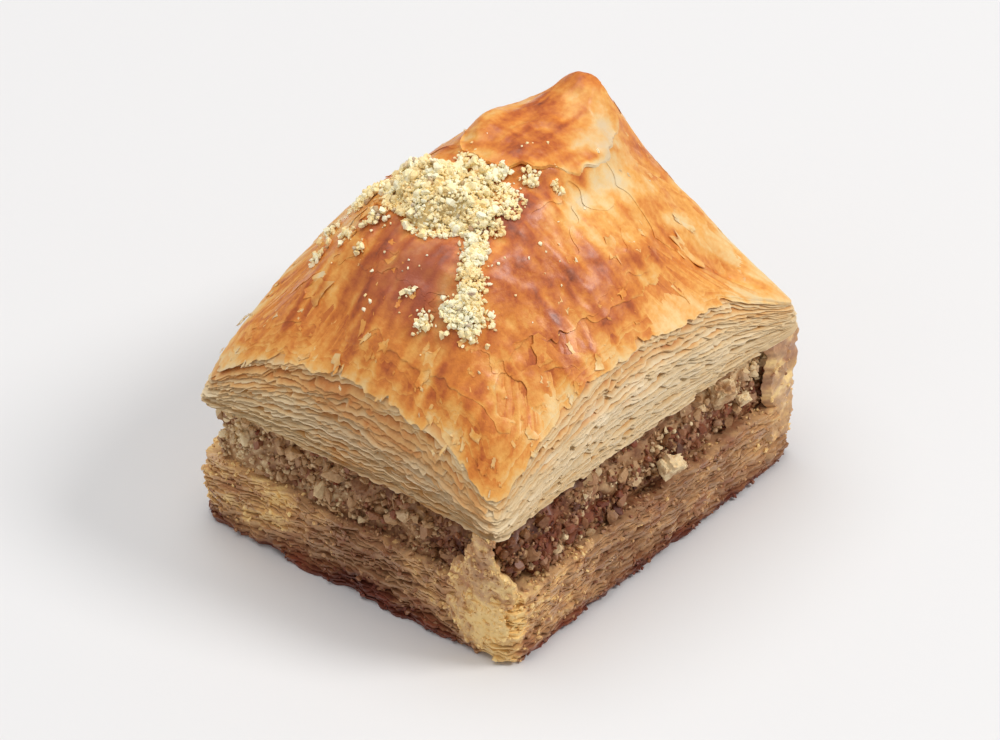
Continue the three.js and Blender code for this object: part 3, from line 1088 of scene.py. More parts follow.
def build_filling_grains(count, sizes, detail, seed):
    random = np.random.default_rng(SEED + seed)
    turn = (np.arange(count) + random.uniform(0, 1, count)) / count
    radii = varied(random, sizes, count, 1.8)
    margin = radii / FILLING_HEIGHT
    share = random.uniform(margin, 1 - margin)
    middles = wall_point(turn, share, random.uniform(-0.25, 0.15, count))
    kind = random.uniform(0, 1, count)
    tones = np.where(kind < SKIN_SHARE + FACE_SHARE, FACE_TONE, MEAT_TONE)
    tones = np.where(kind < SKIN_SHARE, SKIN_TONE, tones)
    tones = tones + random.uniform(-0.14, 0.14, count)
    tones = mix(tones, 0.45, 0.45 * ease_in(17.0, 18.2, -middles[:, 1]))
    tones = tones + filling_tone_and_shade(middles)
    skins = (random.uniform(0, 1, count) < 0.2) * random.uniform(0.4, 0.9, count)
    skins = np.maximum(skins, syrup_stain(middles) * random.uniform(0.4, 1, count))
    return grains(random, middles, radii, detail, {"tone": tones, "skin": skins})


def chunk(middle, radius, tone):
    """One large piece of nut meat in the right face, worn soft."""
    random = np.random.default_rng(SEED + 4)
    middle = np.array(middle)
    points, faces, facts = grains(
        random, middle[None], np.array([radius]), 4, {"skin": np.zeros(1)}
    )
    away = points - middle
    ball_like = away / np.linalg.norm(away, axis=1, keepdims=True) * radius * 0.7
    worn = 1 + 0.22 * rough(*(points.T / 0.7), 3)
    facts["tone"] = tone + 0.3 * rough(*(points.T / 0.8), 2, 7)
    return middle + mix(away, ball_like, 0.45) * worn[:, None], faces, facts


filling_grains = join(
    *(build_filling_grains(*look) for look in FILLING_GRAINS), *(chunk(*look) for look in CHUNKS)
)
add_piece(
    "filling_grains", filling_grains, "nut_filling", filling_finish, smooth=False
)

# %% [markdown]
# At two corners the knife dragged a scrap of pastry over the filling and the
# base: a pale one at the front corner, which narrows on its way up to the
# cap, and a tan one at the right corner, which hangs from the cap.

# %% Corner scraps
CORNER_SCRAPS = [
    # from, to in turns round the piece; bottom, top at each end in mm; heights
    # where it leans in; how far it stands out in mm; how dark above the base; seed
    (-0.054, 0.006, -0.6, (8.0, 21.0), (7.2, 13.9), -0.06, 0.20, 31),
    (0.222, 0.266, 0.6, (20.0, 20.0), (2.5, 18.1), -0.10, 0.26, 32),
]
SCRAP_THICK = 0.9
SCRAP_FLOOR = 0.1


def corner_scrap(start, end, bottom, tops, lean, out, shade, seed, columns=44, rows=66):
    """A torn scrap that leans from the edge of the base to the edge of the cap."""
    levels = np.linspace(bottom, min(max(tops), CAP_UNDERSIDE), rows)
    turn, z = np.meshgrid(np.linspace(start, end, columns), levels)
    turn, z = turn.ravel() % 1, z.ravel()
    a, b = edge_point(turn)
    x, y = in_mm(a, b)
    lumps = out + 0.2 * rough_over(x, y, 1.1, z / 1.3, 4, seed)
    lumps = lumps + 0.08 * rough_over(x, y, 2.5, z / 0.3, 2, seed + 1)
    lumps = lumps + 0.10 * rough_over(x, y, 0.7, z / 2.6, 2, seed + 2)
    reach = 1 + lumps / HALF_WIDTH
    foot = plan_point(BASE_PLAN, a * reach, b * reach)
    head = plan_point(CAP_PLAN, a * reach, b * reach)
    points = np.stack([*mix(foot, head, ease_in(*lean, z)), np.maximum(z, SCRAP_FLOOR)], 1)
    column = np.tile(np.arange(columns), rows) / (columns - 1)
    rise = (z - bottom) / (mix(*tops, column) - bottom)
    edge = 9 * np.min([column, 1 - column, rise, 1 - rise], axis=0)
    inside = edge - 1.0 + 1.4 * rough_over(x, y, 1.8, z / 2.2, 3, seed)
    above = ease_in(5.5, 8.0, z)
    mottle = 0.25 * rough_over(x, y, 0.9, z / 0.9, 3, seed)
    spots = ease_in(-0.1, 0.6, bumps(x / 1.2, y / 1.2, z / 1.2, seed))
    facts = {
        "bake": mix(base_bake(points), shade + mottle, above),
        "ruddy": (0.3 + 0.3 * bell(z - 8.2, 1.2)) * spots * above,
    }
    points, faces, facts = tear((points, grid_faces(rows, columns), facts), inside)
    way = points * [1, 1, 0]
    way = way / np.linalg.norm(way, axis=1, keepdims=True)
    return thicken((points, faces, facts), SCRAP_THICK, way)


scraps_of_corners = [corner_scrap(*look) for look in CORNER_SCRAPS]
add_piece(
    "corner_scraps", join(*scraps_of_corners), "nut_filling", base_finish
)

# %% [markdown]
# Fine crumbs stick to the wet base all round, to the ledge where the filling
# stands back from it, and to the scraps.

# %% Dust
BASE_DUST = [
    # seed, count, from and to in height, from and to in depth, largest radius
    (7, 3400, (0.1, BASE_HEIGHT), (-0.05, 0.12), 0.35),
    (10, 1500, (BASE_HEIGHT - 0.1, BASE_HEIGHT + 0.15), (0.1, 1.4), 0.36),
]
SCRAP_DUST = [
    # seed, count
    (11, 520),
    (12, 80),
]
FINEST = 0.09


def dust_grains(random, middles, radii, bakes):
    return grains(random, middles, radii, 1, {"bake": bakes, "ruddy": 0.3 * bakes.clip(0)})


def scrap_dust(seed, count, scrap):
    """Fine crumbs stuck to a scrap's outer side."""
    random = np.random.default_rng(SEED + seed)
    points, _, facts = scrap
    chosen = random.integers(0, len(points) // 2, count)
    radii = FINEST + 0.3 * random.uniform(0, 1, count) ** 3
    bakes = facts["bake"][chosen] + random.uniform(-0.25, 0.15, count)
    return dust_grains(random, points[chosen], radii, bakes)


def base_inset(turn, z):
    """How far in the edge of the base stands at a height."""
    bounds, insets = BASE_EDGES
    leaf = np.clip(np.searchsorted(bounds, z) - 1, 0, BASE_LEAVES - 1)
    return insets[leaf, (turn * LEAF_POINTS).astype(int) % LEAF_POINTS]


def base_dust(seed, count, heights, insets, largest):
    """Fine crumbs stuck to the base; insets are from the edge of its leaves."""
    random = np.random.default_rng(SEED + seed)
    turn = random.uniform(0, 1, count)
    a, b = edge_point(turn)
    radii = varied(random, (FINEST, largest), count, 2.5)
    z = np.maximum(random.uniform(*heights, count), 1.5 * radii)
    shrink = 1 - (random.uniform(*insets, count) + base_inset(turn, z)) / HALF_WIDTH
    x, y = plan_point(BASE_PLAN, a * shrink, b * shrink)
    middles = np.stack([x, y, z], 1)
    bakes = base_bake(middles) + random.uniform(-0.3, 0.25, count)
    return dust_grains(random, middles, radii, bakes)


dust = join(*(base_dust(*look) for look in BASE_DUST))
add_piece("base_dust", dust, "base_pastry", base_finish, smooth=False)
dust = join(*(scrap_dust(*look, scrap) for look, scrap in zip(SCRAP_DUST, scraps_of_corners)))
add_piece("corner_dust", dust, "nut_filling", base_finish, smooth=False)

# %% [markdown]
# ## Where the cap is browned
#
# The oven browns what stands highest, so blisters are darker than the hollows
# between them, and butter and syrup that ran down leave fine streaks. Over
# that lie large patches: a smooth ruddy one on the front slope, a red streak
# beside the crumbs, and the amber flap on the crest. Two pale streaks right of
# the flap are painted sheen, a painted highlight of the syrup. Two darker
# patches just below the heap are partly painted shadow of the heap and partly
# deeper browning. They are soft ovals with a place, a size and a strength.

# %% Browning map
BAKE_AND_PAINTED_LIGHT_PATCHES = [
    # middle x, y, half size x, y, how much more baked
    (-0.6, 6.6, 5.4, 7.6, 0.165),
    (2.8, 10.0, 1.5, 3.4, -0.40),
    # Painted highlight: the next two pale streaks right of the flap are painted sheen of the syrup.
    (5.9, 7.0, 1.1, 4.6, -0.36),
    (5.6, 3.2, 1.2, 2.2, -0.22),
    # Partly painted shadow: the next two darker patches below the heap are its shade and deeper
    # browning.
    (0.4, -9.0, 3.6, 1.2, 0.12),
    (-6.2, -8.0, 2.0, 1.6, 0.10),
    (0.6, -11.8, 5.8, 3.6, 0.20),
    (3.8, -2.2, 1.7, 3.6, 0.34),
    (7.2, -5.8, 3.0, 3.4, 0.26),
    (6.4, -0.6, 1.6, 2.0, 0.14),
    (10.0, -0.8, 1.6, 4.0, 0.22),
    (12.4, -9.4, 2.2, 4.0, 0.22),
    (9.2, -16.2, 3.8, 2.8, 0.19),
    (11.1, -5.0, 2.4, 2.6, 0.13),
    (9.4, -12.0, 1.8, 2.4, 0.10),
    (-8.0, -12.4, 6.0, 3.6, 0.12),
    (-2.0, -17.2, 9.0, 2.4, 0.15),
    (-13.6, -15.0, 4.0, 4.6, 0.07),
    (14.0, 0.6, 1.7, 9.5, 0.13),
    (16.2, -0.5, 1.4, 9.5, 0.10),
    (13.8, -14.4, 1.6, 2.6, 0.12),
    (11.1, 8.0, 1.0, 5.0, 0.12),
    (13.0, 12.6, 2.0, 2.6, 0.10),
    (13.2, 6.4, 1.0, 1.4, -0.14),
    (12.6, -13.2, 1.5, 1.6, -0.10),
    (-11.5, -5.0, 4.5, 3.6, -0.14),
]
RUDDY_PATCHES = [
    # middle x, y, half size x, y, how much more red
    (0.8, -12.0, 5.2, 3.2, 0.75),
    (3.8, -2.2, 1.5, 3.0, 0.30),
    (6.6, -2.2, 1.3, 1.8, 0.16),
    (2.6, 10.0, 2.0, 3.4, 0.16),
    (-5.5, -8.8, 3.2, 1.4, 0.35),
    (-11.0, -5.0, 4.0, 3.2, 0.16),
]
BAKE_LEVEL = 0.49


def patches(x, y, spots):
    """Sum of soft ovals, with wavering outlines."""
    wave_x = rough_over(x, y, 2.6, 11.5, 2)
    wave_y = rough_over(x, y, 2.6, 17.5, 2)
    total = np.zeros(x.shape)
    for middle_x, middle_y, half_x, half_y, strength in spots:
        far = ((x + wave_x - middle_x) / half_x) ** 2 + ((y + wave_y - middle_y) / half_y) ** 2
        total += strength * np.exp(-(far**1.5))
    return total


def blisters(x, y):
    """Small bubbles of the crust, -1 to 1."""
    return rough_over(x, y, 2.3, 3.3) / 1.3


def streaks(a, b):
    """Fine lines that run down each slope."""
    x, y = in_mm(a, b)
    on_sides = ease_in(-0.15, 0.15, np.abs(a) - np.abs(b))
    return mix(rough(x / 0.7, y / 5.0, 9.9, 2), rough(x / 5.0, y / 0.7, 8.8, 2), on_sides)


def crust_bake(a, b):
    """Browning over the square, plus painted sheen and shade; its rim is paler, but not at the front
    corner.
    """
    x, y = in_mm(a, b)
    corner = bell(np.hypot(x - 15, y + 18), 9.0)
    width = mix(1.5, 2.0, ease_in(-0.1, 0.2, a - np.abs(b)))
    rim = 0.3 * bell(rim_distance(a, b), width) * (1 - 0.8 * corner)
    mottle = 0.16 * blisters(x, y) + 0.10 * rough(x, y, 6.1)
    return BAKE_LEVEL + mottle + 0.15 * streaks(a, b) - rim + patches(x, y, BAKE_AND_PAINTED_LIGHT_PATCHES)


print("browning runs over", len(BAKE_AND_PAINTED_LIGHT_PATCHES), "patches")

# %% [markdown]
# ## The leaves of the cap
#
# The cap's leaves are drier than the base, so there are gaps between them,
# and each goes its own way. They lie thick together at the corners and fan
# out to the middle of each face, as the dome lifts them. Every sixth leaf has
# come loose and leaves a wider gap. Towards the top they draw back, which
# rounds the shoulder between the cut face and the slope.

# %% Crust relief
CRUST_SINK = 0.3
CALM_RIM = 2.5


def crust_relief(a, b):
    """Fine relief of the crust, in mm: folds, bubbles and grain."""
    x, y = in_mm(a, b)
    bend = 0.6 * bumps_over(x, y, 4, 2)
    folds = 1 - 2 * np.abs(bumps(x / 3.1 + bend, y / 3.1, 5.0))
    fine = rough_over(x, y, 0.9, 3.0, 2)
    height = 0.12 * folds + 0.16 * blisters(x, y) + 0.07 * fine + 0.06 * streaks(a, b)
    return height * np.clip(rim_distance(a, b) / CALM_RIM, 0.15, 1)


relief = crust_relief(LEAF_A / 2, LEAF_B / 2)
print("half way in, the relief spans", np.ptp(relief).round(2), "mm")

# %% Cap leaves
CAP_LEAVES = 29
CAP_SOLID_LEAVES = 9
CAP_PITCH = (0.6, 1.4)
CAP_GAP = (0.2, 0.45)
OPEN_GAP = 0.6
OPEN_CURL = 0.16
CLOSE_CURL = 0.07
FULL_RISE = 9
SHOULDER_START = 0.55
SHOULDER_INSET = 0.9

# At the right corner the crust folds down over the leaves, so they end close together
FOLDED = near(LEAF_TURN, 0.25, 0.034)


def cap_level(share, leaf):
    """Height of a leaf over the square, `share` of the way from underside to top."""
    def height(a, b):
        rise = dome(a, b) - CAP_UNDERSIDE - CRUST_SINK
        wave = 0.07 * rough(a * 4.0, b * 4.8, 0.28 * leaf + 30, 2)
        wave = wave * np.clip(rise / FULL_RISE, 0.1, 1)
        return CAP_UNDERSIDE + rise * np.clip(share, 0, 1) + wave * np.sin(np.pi * share)
    return height


def cap_leaf_facts(random, points, depths, leaf, high):
    """Pale leaves, darker towards the top, and tan, partly painted shade, on the front's right half.
    """
    x, y = points[:, :2].T
    mottle = 0.12 * rough_over(x, y, 2, 1.9 * leaf)
    bake = 0.06 + 0.34 * high**3 + mottle + random.uniform(-0.12, 0.14)
    front = ease_in(18.5, 19.5, -y)
    # Painted shade as well as a real tan: the front face, which the lamps light least, is made darker
    # and redder.
    tan = front * (1 - 0.9 * ease_in(2, 9, -x))
    bake = bake + 0.3 * (depths > 0.3) + 0.17 * tan - 0.08 * (1 - front)
    return {"bake": bake, "ruddy": 0.12 * tan}


def build_cap_leaves():
    random = np.random.default_rng(SEED + 5)
    pitch = random.uniform(*CAP_PITCH, CAP_LEAVES)
    bounds = np.concatenate([[0], np.cumsum(pitch)]) / pitch.sum()
    loose = np.clip((dome(LEAF_A, LEAF_B) - CAP_UNDERSIDE) / FULL_RISE, 0.1, 1)
    parts = []
    for leaf, (low, high) in enumerate(zip(bounds, bounds[1:])):
        is_open = leaf % 6 == 4
        gap = (high - low) * (OPEN_GAP if is_open else random.uniform(*CAP_GAP))
        inset = leaf_inset(
            "cap", leaf, CAP_LEAVES, CAP_SOLID_LEAVES, own=0.14, rag=0.12, chips=0.35
        )
        shoulder = np.clip((high - SHOULDER_START) / (1 - SHOULDER_START), 0, 1)
        inset = inset + SHOULDER_INSET * shoulder**2
        inset = inset * (1 - 0.7 * FOLDED)
        curl = (OPEN_CURL if is_open else CLOSE_CURL) * loose
        curl = curl * bumps_over(*LEAF_PLACE, 2.4, 2.3 * leaf + 9)
        points, faces, depths, _ = leaf_band(
            CAP_PLAN, cap_level(low, leaf), cap_level(high - gap, leaf), inset, curl
        )
        parts.append((points, faces, cap_leaf_facts(random, points, depths, leaf, high)))
    return join(*parts)


add_piece("cap_leaves", build_cap_leaves(), "top_pastry", leaf_finish)

# %% [markdown]
# The next leaves end on the slope. Each is a little smaller than the one
# below, so their edges run round the cap like the lines of a map, and the cut
# face turns into the crust without a hard edge.

# %% Rim leaves
RIM_LEAVES = 7
RIM_FIRST = 1.0
RIM_STEP = 0.3
RIM_LEAST_STEP = 0.12
RIM_FOLDED = 0.35
RIM_LIFT = 0.03
RIM_THICK = 0.07
RIM_BACKS = (0.2, 0.7, 1.4, 2.3)


def crust_level(lift):
    """Height of a leaf that lies on the slope, `lift` mm above the sunk crust."""
    def height(a, b):
        return dome(a, b) + crust_relief(a, b) - CRUST_SINK + lift
    return height


def build_rim_leaves():
    parts = []
    inset = np.full(LEAF_POINTS, 0.2)
    for leaf in range(RIM_LEAVES):
        wander = 0.25 * rough_over(*LEAF_PLACE, 3.4, 4.1 * leaf + 70, 2)
        fine = 0.16 * rough_over(*LEAF_PLACE, 0.6, 5.3 * leaf, 2)
        chip = chipped(1.2, 0.4, 2.7 * leaf + 50)
        own = mix(RIM_FIRST + RIM_STEP * leaf + wander + fine + chip, RIM_FOLDED, FOLDED)
        inset = np.maximum(inset + RIM_LEAST_STEP * (1 - FOLDED), own)
        lift = RIM_LIFT * (leaf + 1)
        curl = 0.02 * (0.5 + bumps_over(*LEAF_PLACE, 1.7, 1.9 * leaf + 14))
        points, faces, depths, (a, b) = leaf_band(
            CAP_PLAN, crust_level(lift - RIM_THICK), crust_level(lift), inset, curl, RIM_BACKS
        )
        bake = crust_bake(a, b) - 0.12 * fade(depths, 0.2)
        bake = bake + 0.06 * np.sin(2.4 * leaf)
        ruddy = 0.7 * patches(*in_mm(a, b), RUDDY_PATCHES)
        parts.append((points, faces, {"bake": bake, "ruddy": ruddy}))
    return join(*parts)


add_piece("rim_leaves", build_rim_leaves(), "top_pastry", crust_finish)

# %% [markdown]
# ## The crust
#
# The crust is modelled in three steps. First a closed dome, the body, with
# the bubbles and wrinkles of the leaf below. Then two thin torn leaves over
# it, with steps and holes. Last the flap, a thicker leaf that has cracked
# round an oval on the crest, with its pale edge standing up; that paleness is
# partly a painted highlight of the syrup along the edge.

# %% Crust body
BODY_INSET = 1.6
BODY_LIFT = 0.42
BODY_FLOOR = CAP_UNDERSIDE + 0.02
HIDDEN_BAKE = 0.35


def sheet_grid(columns, rows, inset):
    """Even grid over the rounded square, as a and b."""
    reach = 1 - inset / HALF_WIDTH
    a, b = np.meshgrid(np.linspace(-reach, reach, columns), np.linspace(-reach, reach, rows))
    return round_off(a.ravel(), b.ravel())


def edge_order(faces):
    """The points round the edge of a sheet, each followed by its neighbour."""
    following = dict(loose_edges(faces).tolist())
    order = [0]
    while following[order[-1]] != order[0]:
        order.append(following[order[-1]])
    return np.array(order)


def build_body(columns=160, rows=190):
    """The closed dome under the torn leaves: a sheet, a wall and a flat underside."""
    a, b = sheet_grid(columns, rows, BODY_INSET)
    x, y = plan_point(CAP_PLAN, a, b)
    lift = BODY_LIFT * ease_in(3, 8, rim_distance(a, b))
    top = np.stack([x, y, crust_level(lift)(a, b)], 1)
    faces = grid_faces(rows, columns)
    order = edge_order(faces)
    foot = top[order].copy()
    foot[:, 2] = BODY_FLOOR
    count, size = len(top), len(order)
    here = np.arange(size)
    after = (here + 1) % size
    walls = quads(order[after], order, count + here, count + after)
    underside = np.stack([np.full(size, count + size), count + after, count + here], 1)
    points = np.concatenate([top, foot, [[0, 0, BODY_FLOOR]]])
    faces = np.concatenate([faces, *walls, underside])
    hidden = len(points) - count
    ruddy = 0.8 * patches(*in_mm(a, b), RUDDY_PATCHES)
    bake = np.concatenate([crust_bake(a, b) - 0.06, np.full(hidden, HIDDEN_BAKE)])
    return points, faces, {"bake": bake, "ruddy": np.concatenate([ruddy, np.zeros(hidden)])}


add_piece("cap_body", build_body(), "top_pastry", crust_finish)

# %% Torn crust leaves
CRUST_LEAVES = [
    # inset from the rim in mm, how ragged, share of holes
    (3.4, 1.3, 0.30),
    (6.5, 2.4, 0.55),
]
CRUST_INSET = 0.4
CRUST_THICK = 0.05
CRUST_CURL = 0.07
CURL_RUN = 0.4

# Distances from the rim in mm, and the lift there
CRUST_BUILD = ([0.6, 3.2, 8.0], [0.0, 0.22, 0.43])


def crust_top(a, b):
    """Lift over the sunk crust of what the body and the rim leaves build up."""
    return np.interp(rim_distance(a, b), *CRUST_BUILD)


def torn_leaf(grid, rows, columns, inside, lift, curl, thick, bake):
    """A torn leaf on the crust, with its edge curled up by `curl`."""
    a, b = grid
    height = crust_level(lift)(a, b) + curl * fade(np.maximum(inside, 0), CURL_RUN)
    points = np.stack([*plan_point(CAP_PLAN, a, b), height], 1)
    facts = {"bake": bake, "ruddy": patches(*in_mm(a, b), RUDDY_PATCHES)}
    return thicken(tear((points, grid_faces(rows, columns), facts), inside), thick)


def crust_leaf(index, inset, ragged, holes, columns=148, rows=174):
    """One of the thin leaves, torn at its rim and in its holes."""
    a, b = sheet_grid(columns, rows, CRUST_INSET)
    x, y = in_mm(a, b)
    torn = ragged * rough_over(x, y, 3.0, 6.1 * index + 1, 4)
    unbroken = 2.2 * (rough_over(x, y, 4.2, 9.7 * index + 2) + 1.0 - 1.2 * holes)
    inside = np.minimum(rim_distance(a, b) - inset + torn, unbroken)
    inside = np.minimum(inside, flap_distance(x, y) + 1.0)
    curl = CRUST_CURL * (0.2 + bumps_over(x, y, 1.9, index + 21))
    lift = crust_top(a, b) + CRUST_THICK * (index + 1)
    bake = crust_bake(a, b) + 0.04 * index - 0.12 * fade(np.maximum(inside, 0), 0.2)
    return torn_leaf((a, b), rows, columns, inside, lift, curl, CRUST_THICK, bake)


for index, look in enumerate(CRUST_LEAVES):
    name = f"crust_leaf_{index + 1}"
    add_piece(name, crust_leaf(index, *look), "top_pastry", crust_finish)

# %% Flap
FLAP_TIP = (-4.6, 1.6)
FLAP_TIP_REACH = 1.4
FLAP_BREAK = (4.0, 8.0)
FLAP_MARGIN = 0.35
FLAP_LIFT = 0.68
FLAP_THICK = 0.35
FLAP_CURL = 0.3


def build_flap(columns=110, rows=132):
    """The cracked leaf on the crest, drawn out to a tip at its front left."""
    reach = 1.25 * FLAP_HALF
    x, y = np.meshgrid(
        FLAP_CENTRE[0] + np.linspace(-reach[0], reach[0], columns),
        FLAP_CENTRE[1] + np.linspace(-reach[1], reach[1], rows),
    )
    x, y = x.ravel(), y.ravel()
    a, b = in_square(x, y)
    inside = FLAP_MARGIN - flap_distance(x, y) + 0.3 * rough_over(x, y, 1.7, 31.0, 4)
    inside += FLAP_TIP_REACH * bell(np.hypot(x - FLAP_TIP[0], y - FLAP_TIP[1]), 2.0)
    broken = bell(np.hypot(x - FLAP_BREAK[0], y - FLAP_BREAK[1]), 5.0)
    front = ease_in(4.5, 1.5, y)
    curl = FLAP_CURL * (0.5 + bumps_over(x, y, 1.4, 25.0)) * (0.5 + broken) + FLAP_CURL * front
    # Partly painted highlight: the torn edge of the flap, most on its right side, is paler for torn
    # pastry and the syrup's glint.
    pale = (0.06 + 0.35 * broken) * fade(np.maximum(inside, 0), 0.35)
    bake = crust_bake(a, b) + 0.02 - pale
    return torn_leaf((a, b), rows, columns, inside, FLAP_LIFT, curl, FLAP_THICK, bake)


add_piece("flap", build_flap(), "top_pastry", crust_finish)

# %% [markdown]
# ## Loose scraps of leaf
#
# Bits of leaf break off in cutting and stick in the syrup. Sixteen larger
# ones lie where the solid has them; three hundred small ones are strewn
# between. Each follows the crust below it, with its ends curled up.

# %% Scraps
LARGE_SCRAPS = np.array([
    # x, y, half size
    [12.1, -8.4, 1.31], [10.2, 3.3, 1.25], [11.5, 11.8, 1.58], [9.6, 13.7, 1.17],
    [-0.3, 15.3, 1.16], [-10.6, 16.5, 1.11], [-8.8, 9.8, 1.14], [-10.7, 1.6, 1.49],
    [-11.1, -11.8, 1.09], [-8.6, -14.3, 1.40], [-2.2, -11.3, 0.99], [5.6, -16.3, 1.44],
    [-8.0, -6.5, 1.12], [-7.1, -6.3, 1.12], [-8.4, -7.7, 0.96], [-8.7, -9.6, 1.31],
])
SMALL_SCRAPS = 300
SCRAP_LIFT = 0.07
SCRAP_LEAF_THICK = 0.06


def on_crust(x, y, lift):
    """Places on the crust for spots given in the square's millimetres."""
    a, b = in_square(x, y)
    height = crust_level(crust_top(a, b))(a, b) + lift
    return np.stack([*plan_point(CAP_PLAN, a, b), height], -1)


def small_scraps(random):
    """x, y and half size of the small scraps."""
    turn = random.uniform(0, 1, SMALL_SCRAPS)
    reach = random.uniform(0.35, 0.97, SMALL_SCRAPS) ** 0.7
    a, b = edge_point(turn)
    size = 0.15 + 0.6 * random.uniform(0, 1, SMALL_SCRAPS) ** 3
    return np.stack([*in_mm(a * reach, b * reach), size], 1)


def build_scraps(columns=6, rows=4):
    random = np.random.default_rng(SEED + 8)
    spots = np.concatenate([LARGE_SCRAPS, small_scraps(random)])
    middle_x, middle_y, size = spots.T[..., None]
    count = len(size)
    u, v = np.meshgrid(np.linspace(-1, 1, columns), np.linspace(-1, 1, rows))
    u, v = (np.broadcast_to(value.ravel(), (count, value.size)) for value in (u, v))
    corner = np.maximum(np.abs(u), np.abs(v)) > 0.9
    ragged = 1 - random.uniform(0, 0.6, u.shape) * corner
    narrow = random.uniform(0.25, 0.75, (count, 1))
    spin = random.uniform(0, 2 * np.pi, (count, 1))
    along, across = u * ragged * size, v * ragged * size * narrow
    x = middle_x + along * np.cos(spin) - across * np.sin(spin)
    y = middle_y + along * np.sin(spin) + across * np.cos(spin)
    curl = size * random.uniform(0.0, 0.25, (count, 1)) * u**2
    points = on_crust(x, y, SCRAP_LIFT + curl).reshape(-1, 3)
    faces = repeated(grid_faces(rows, columns), count, columns * rows)
    large = np.arange(count)[:, None] < len(LARGE_SCRAPS)
    paler = random.uniform(0.0, 0.36, (count, 1)) * np.where(large, 0.3, 1)
    bake = crust_bake(*in_square(x, y)) - 0.08 - paler
    ruddy = random.uniform(-0.3, 0.1, (count, 1)).clip(0) + np.zeros(u.shape)
    facts = {"bake": bake.ravel(), "ruddy": ruddy.ravel()}
    return thicken((points, faces, facts), SCRAP_LEAF_THICK)


add_piece("scraps", build_scraps(), "top_pastry", crust_finish)

# %% [markdown]
# ## Nut crumbs on top
#
# A spoonful of fine pale crumbs was strewn on the hot syrup and stuck. It
# lies in a heap in front of the flap, with a trail running down from it and
# small clumps along the flap's edge and on the left shoulder. The heap is a
# soft lumpy mound with grains all over it, coarse ones among many fine ones.

# %% Heap, clumps and strays
HEAP_CENTRE = np.array([-2.3, -4.0])
HEAP_HALF = np.array([6.3, 4.1])
HEAP_HEIGHT = 1.9
HEAP_GRAINS = [
    # count, smallest and largest radius in mm, detail
    (3200, (0.11, 0.34), 1),
    (260, (0.24, 0.6), 2),
]
CLUMPS = [
    # middle x, y, radius, number of grains
    (3.4, -7.0, 1.2, 130), (4.3, -8.4, 1.2, 130), (5.0, -9.7, 1.2, 140), (6.0, -11.0, 1.3, 170),
    (7.0, -12.2, 1.6, 260), (5.2, -12.8, 1.1, 100), (3.6, -14.4, 0.8, 50), (0.9, -13.1, 0.5, 14),
    (-6.8, -8.6, 1.1, 60), (-9.0, -9.8, 0.9, 36), (-11.4, -10.6, 0.8, 30), (-6.3, -11.2, 0.6, 18),
    (2.7, 1.2, 0.8, 60), (4.4, 2.8, 0.5, 14), (-3.6, -0.2, 1.1, 60), (0.4, 0.1, 0.9, 50),
    (-8.8, -1.6, 1.6, 200), (-9.8, -4.4, 1.2, 110), (3.6, -4.8, 0.9, 50), (8.2, -10.8, 0.6, 14),
    (-11.0, -4.0, 1.3, 130), (-10.6, -5.8, 1.1, 110), (-12.6, -7.6, 0.9, 50),
]
CLUMP_SIZES = (0.14, 0.46)
STRAYS = 90
STRAY_MIDDLE = (0.5, -5.0)
STRAY_SPREAD = (6.0, 7.0)
STRAY_SIZES = (0.1, 0.3)


def heap_outline(angle):
    """How far the ragged outline of the heap reaches each way, 1 on average."""
    ragged = 0.14 * rough(np.cos(angle) * 2.5, np.sin(angle) * 2.5, 1.0)
    return 1 + 0.1 * np.sin(3 * angle - 1) + ragged


def heap_rise(x, y):
    """Height of the heap over the crust, with its lumps."""
    far = ((x - HEAP_CENTRE[0]) / HEAP_HALF[0]) ** 2 + ((y - HEAP_CENTRE[1]) / HEAP_HALF[1]) ** 2
    far = far * (1 + 0.4 * rough_over(x, y, 2.2, 12.0, 2))
    lumps = rough_over(x, y, 1.7, 6.0)
    return np.maximum(0, HEAP_HEIGHT * (1 - far) + lumps * np.clip(3 * (1 - far), 0, 1))


def heap_spots(random, count):
    """x, y and rise over the crust of grains spread evenly over the heap."""
    angle = random.uniform(0, 2 * np.pi, count)
    reach = np.sqrt(random.uniform(0, 1, count)) * 1.04 * heap_outline(angle)
    x = HEAP_CENTRE[0] + HEAP_HALF[0] * reach * np.cos(angle)
    y = HEAP_CENTRE[1] + HEAP_HALF[1] * reach * np.sin(angle)
    return x, y, heap_rise(x, y)


def clump_spots(random):
    """x, y and rise of the grains of all clumps."""
    spots = []
    for x, y, radius, count in CLUMPS:
        dx, dy = random.normal(0, 0.45 * radius, (2, count))
        fall = np.exp(-(dx * dx + dy * dy) / radius**2)
        spots.append(np.stack([x + dx, y + dy, 0.6 * radius * fall * random.uniform(0, 1, count)]))
    return np.concatenate(spots, 1)


def stray_spots(random):
    """x, y and rise of single grains, strewn round the heap."""
    x, y = random.normal(STRAY_MIDDLE, STRAY_SPREAD, (STRAYS, 2)).T
    return np.clip(x, -14, 13), np.clip(y, -17, 16), np.zeros(STRAYS)


print("crumbs lie in a heap and", len(CLUMPS), "clumps")


# %% Crumbs
def crumb_grains(random, spots, sizes, detail):
    x, y, rise = spots
    count = len(x)
    radii = varied(random, sizes, count, 2)
    middles = on_crust(x, y, rise + 0.1 + 0.4 * radii)
    tones = 0.7 + 0.35 * rough_over(x, y, 1.4, 2.0, 2) + random.uniform(-0.3, 0.3, count)
    skins = (random.uniform(0, 1, count) < 0.04) * random.uniform(0.3, 0.7, count)
    return grains(random, middles, radii, detail, {"tone": tones, "skin": skins})


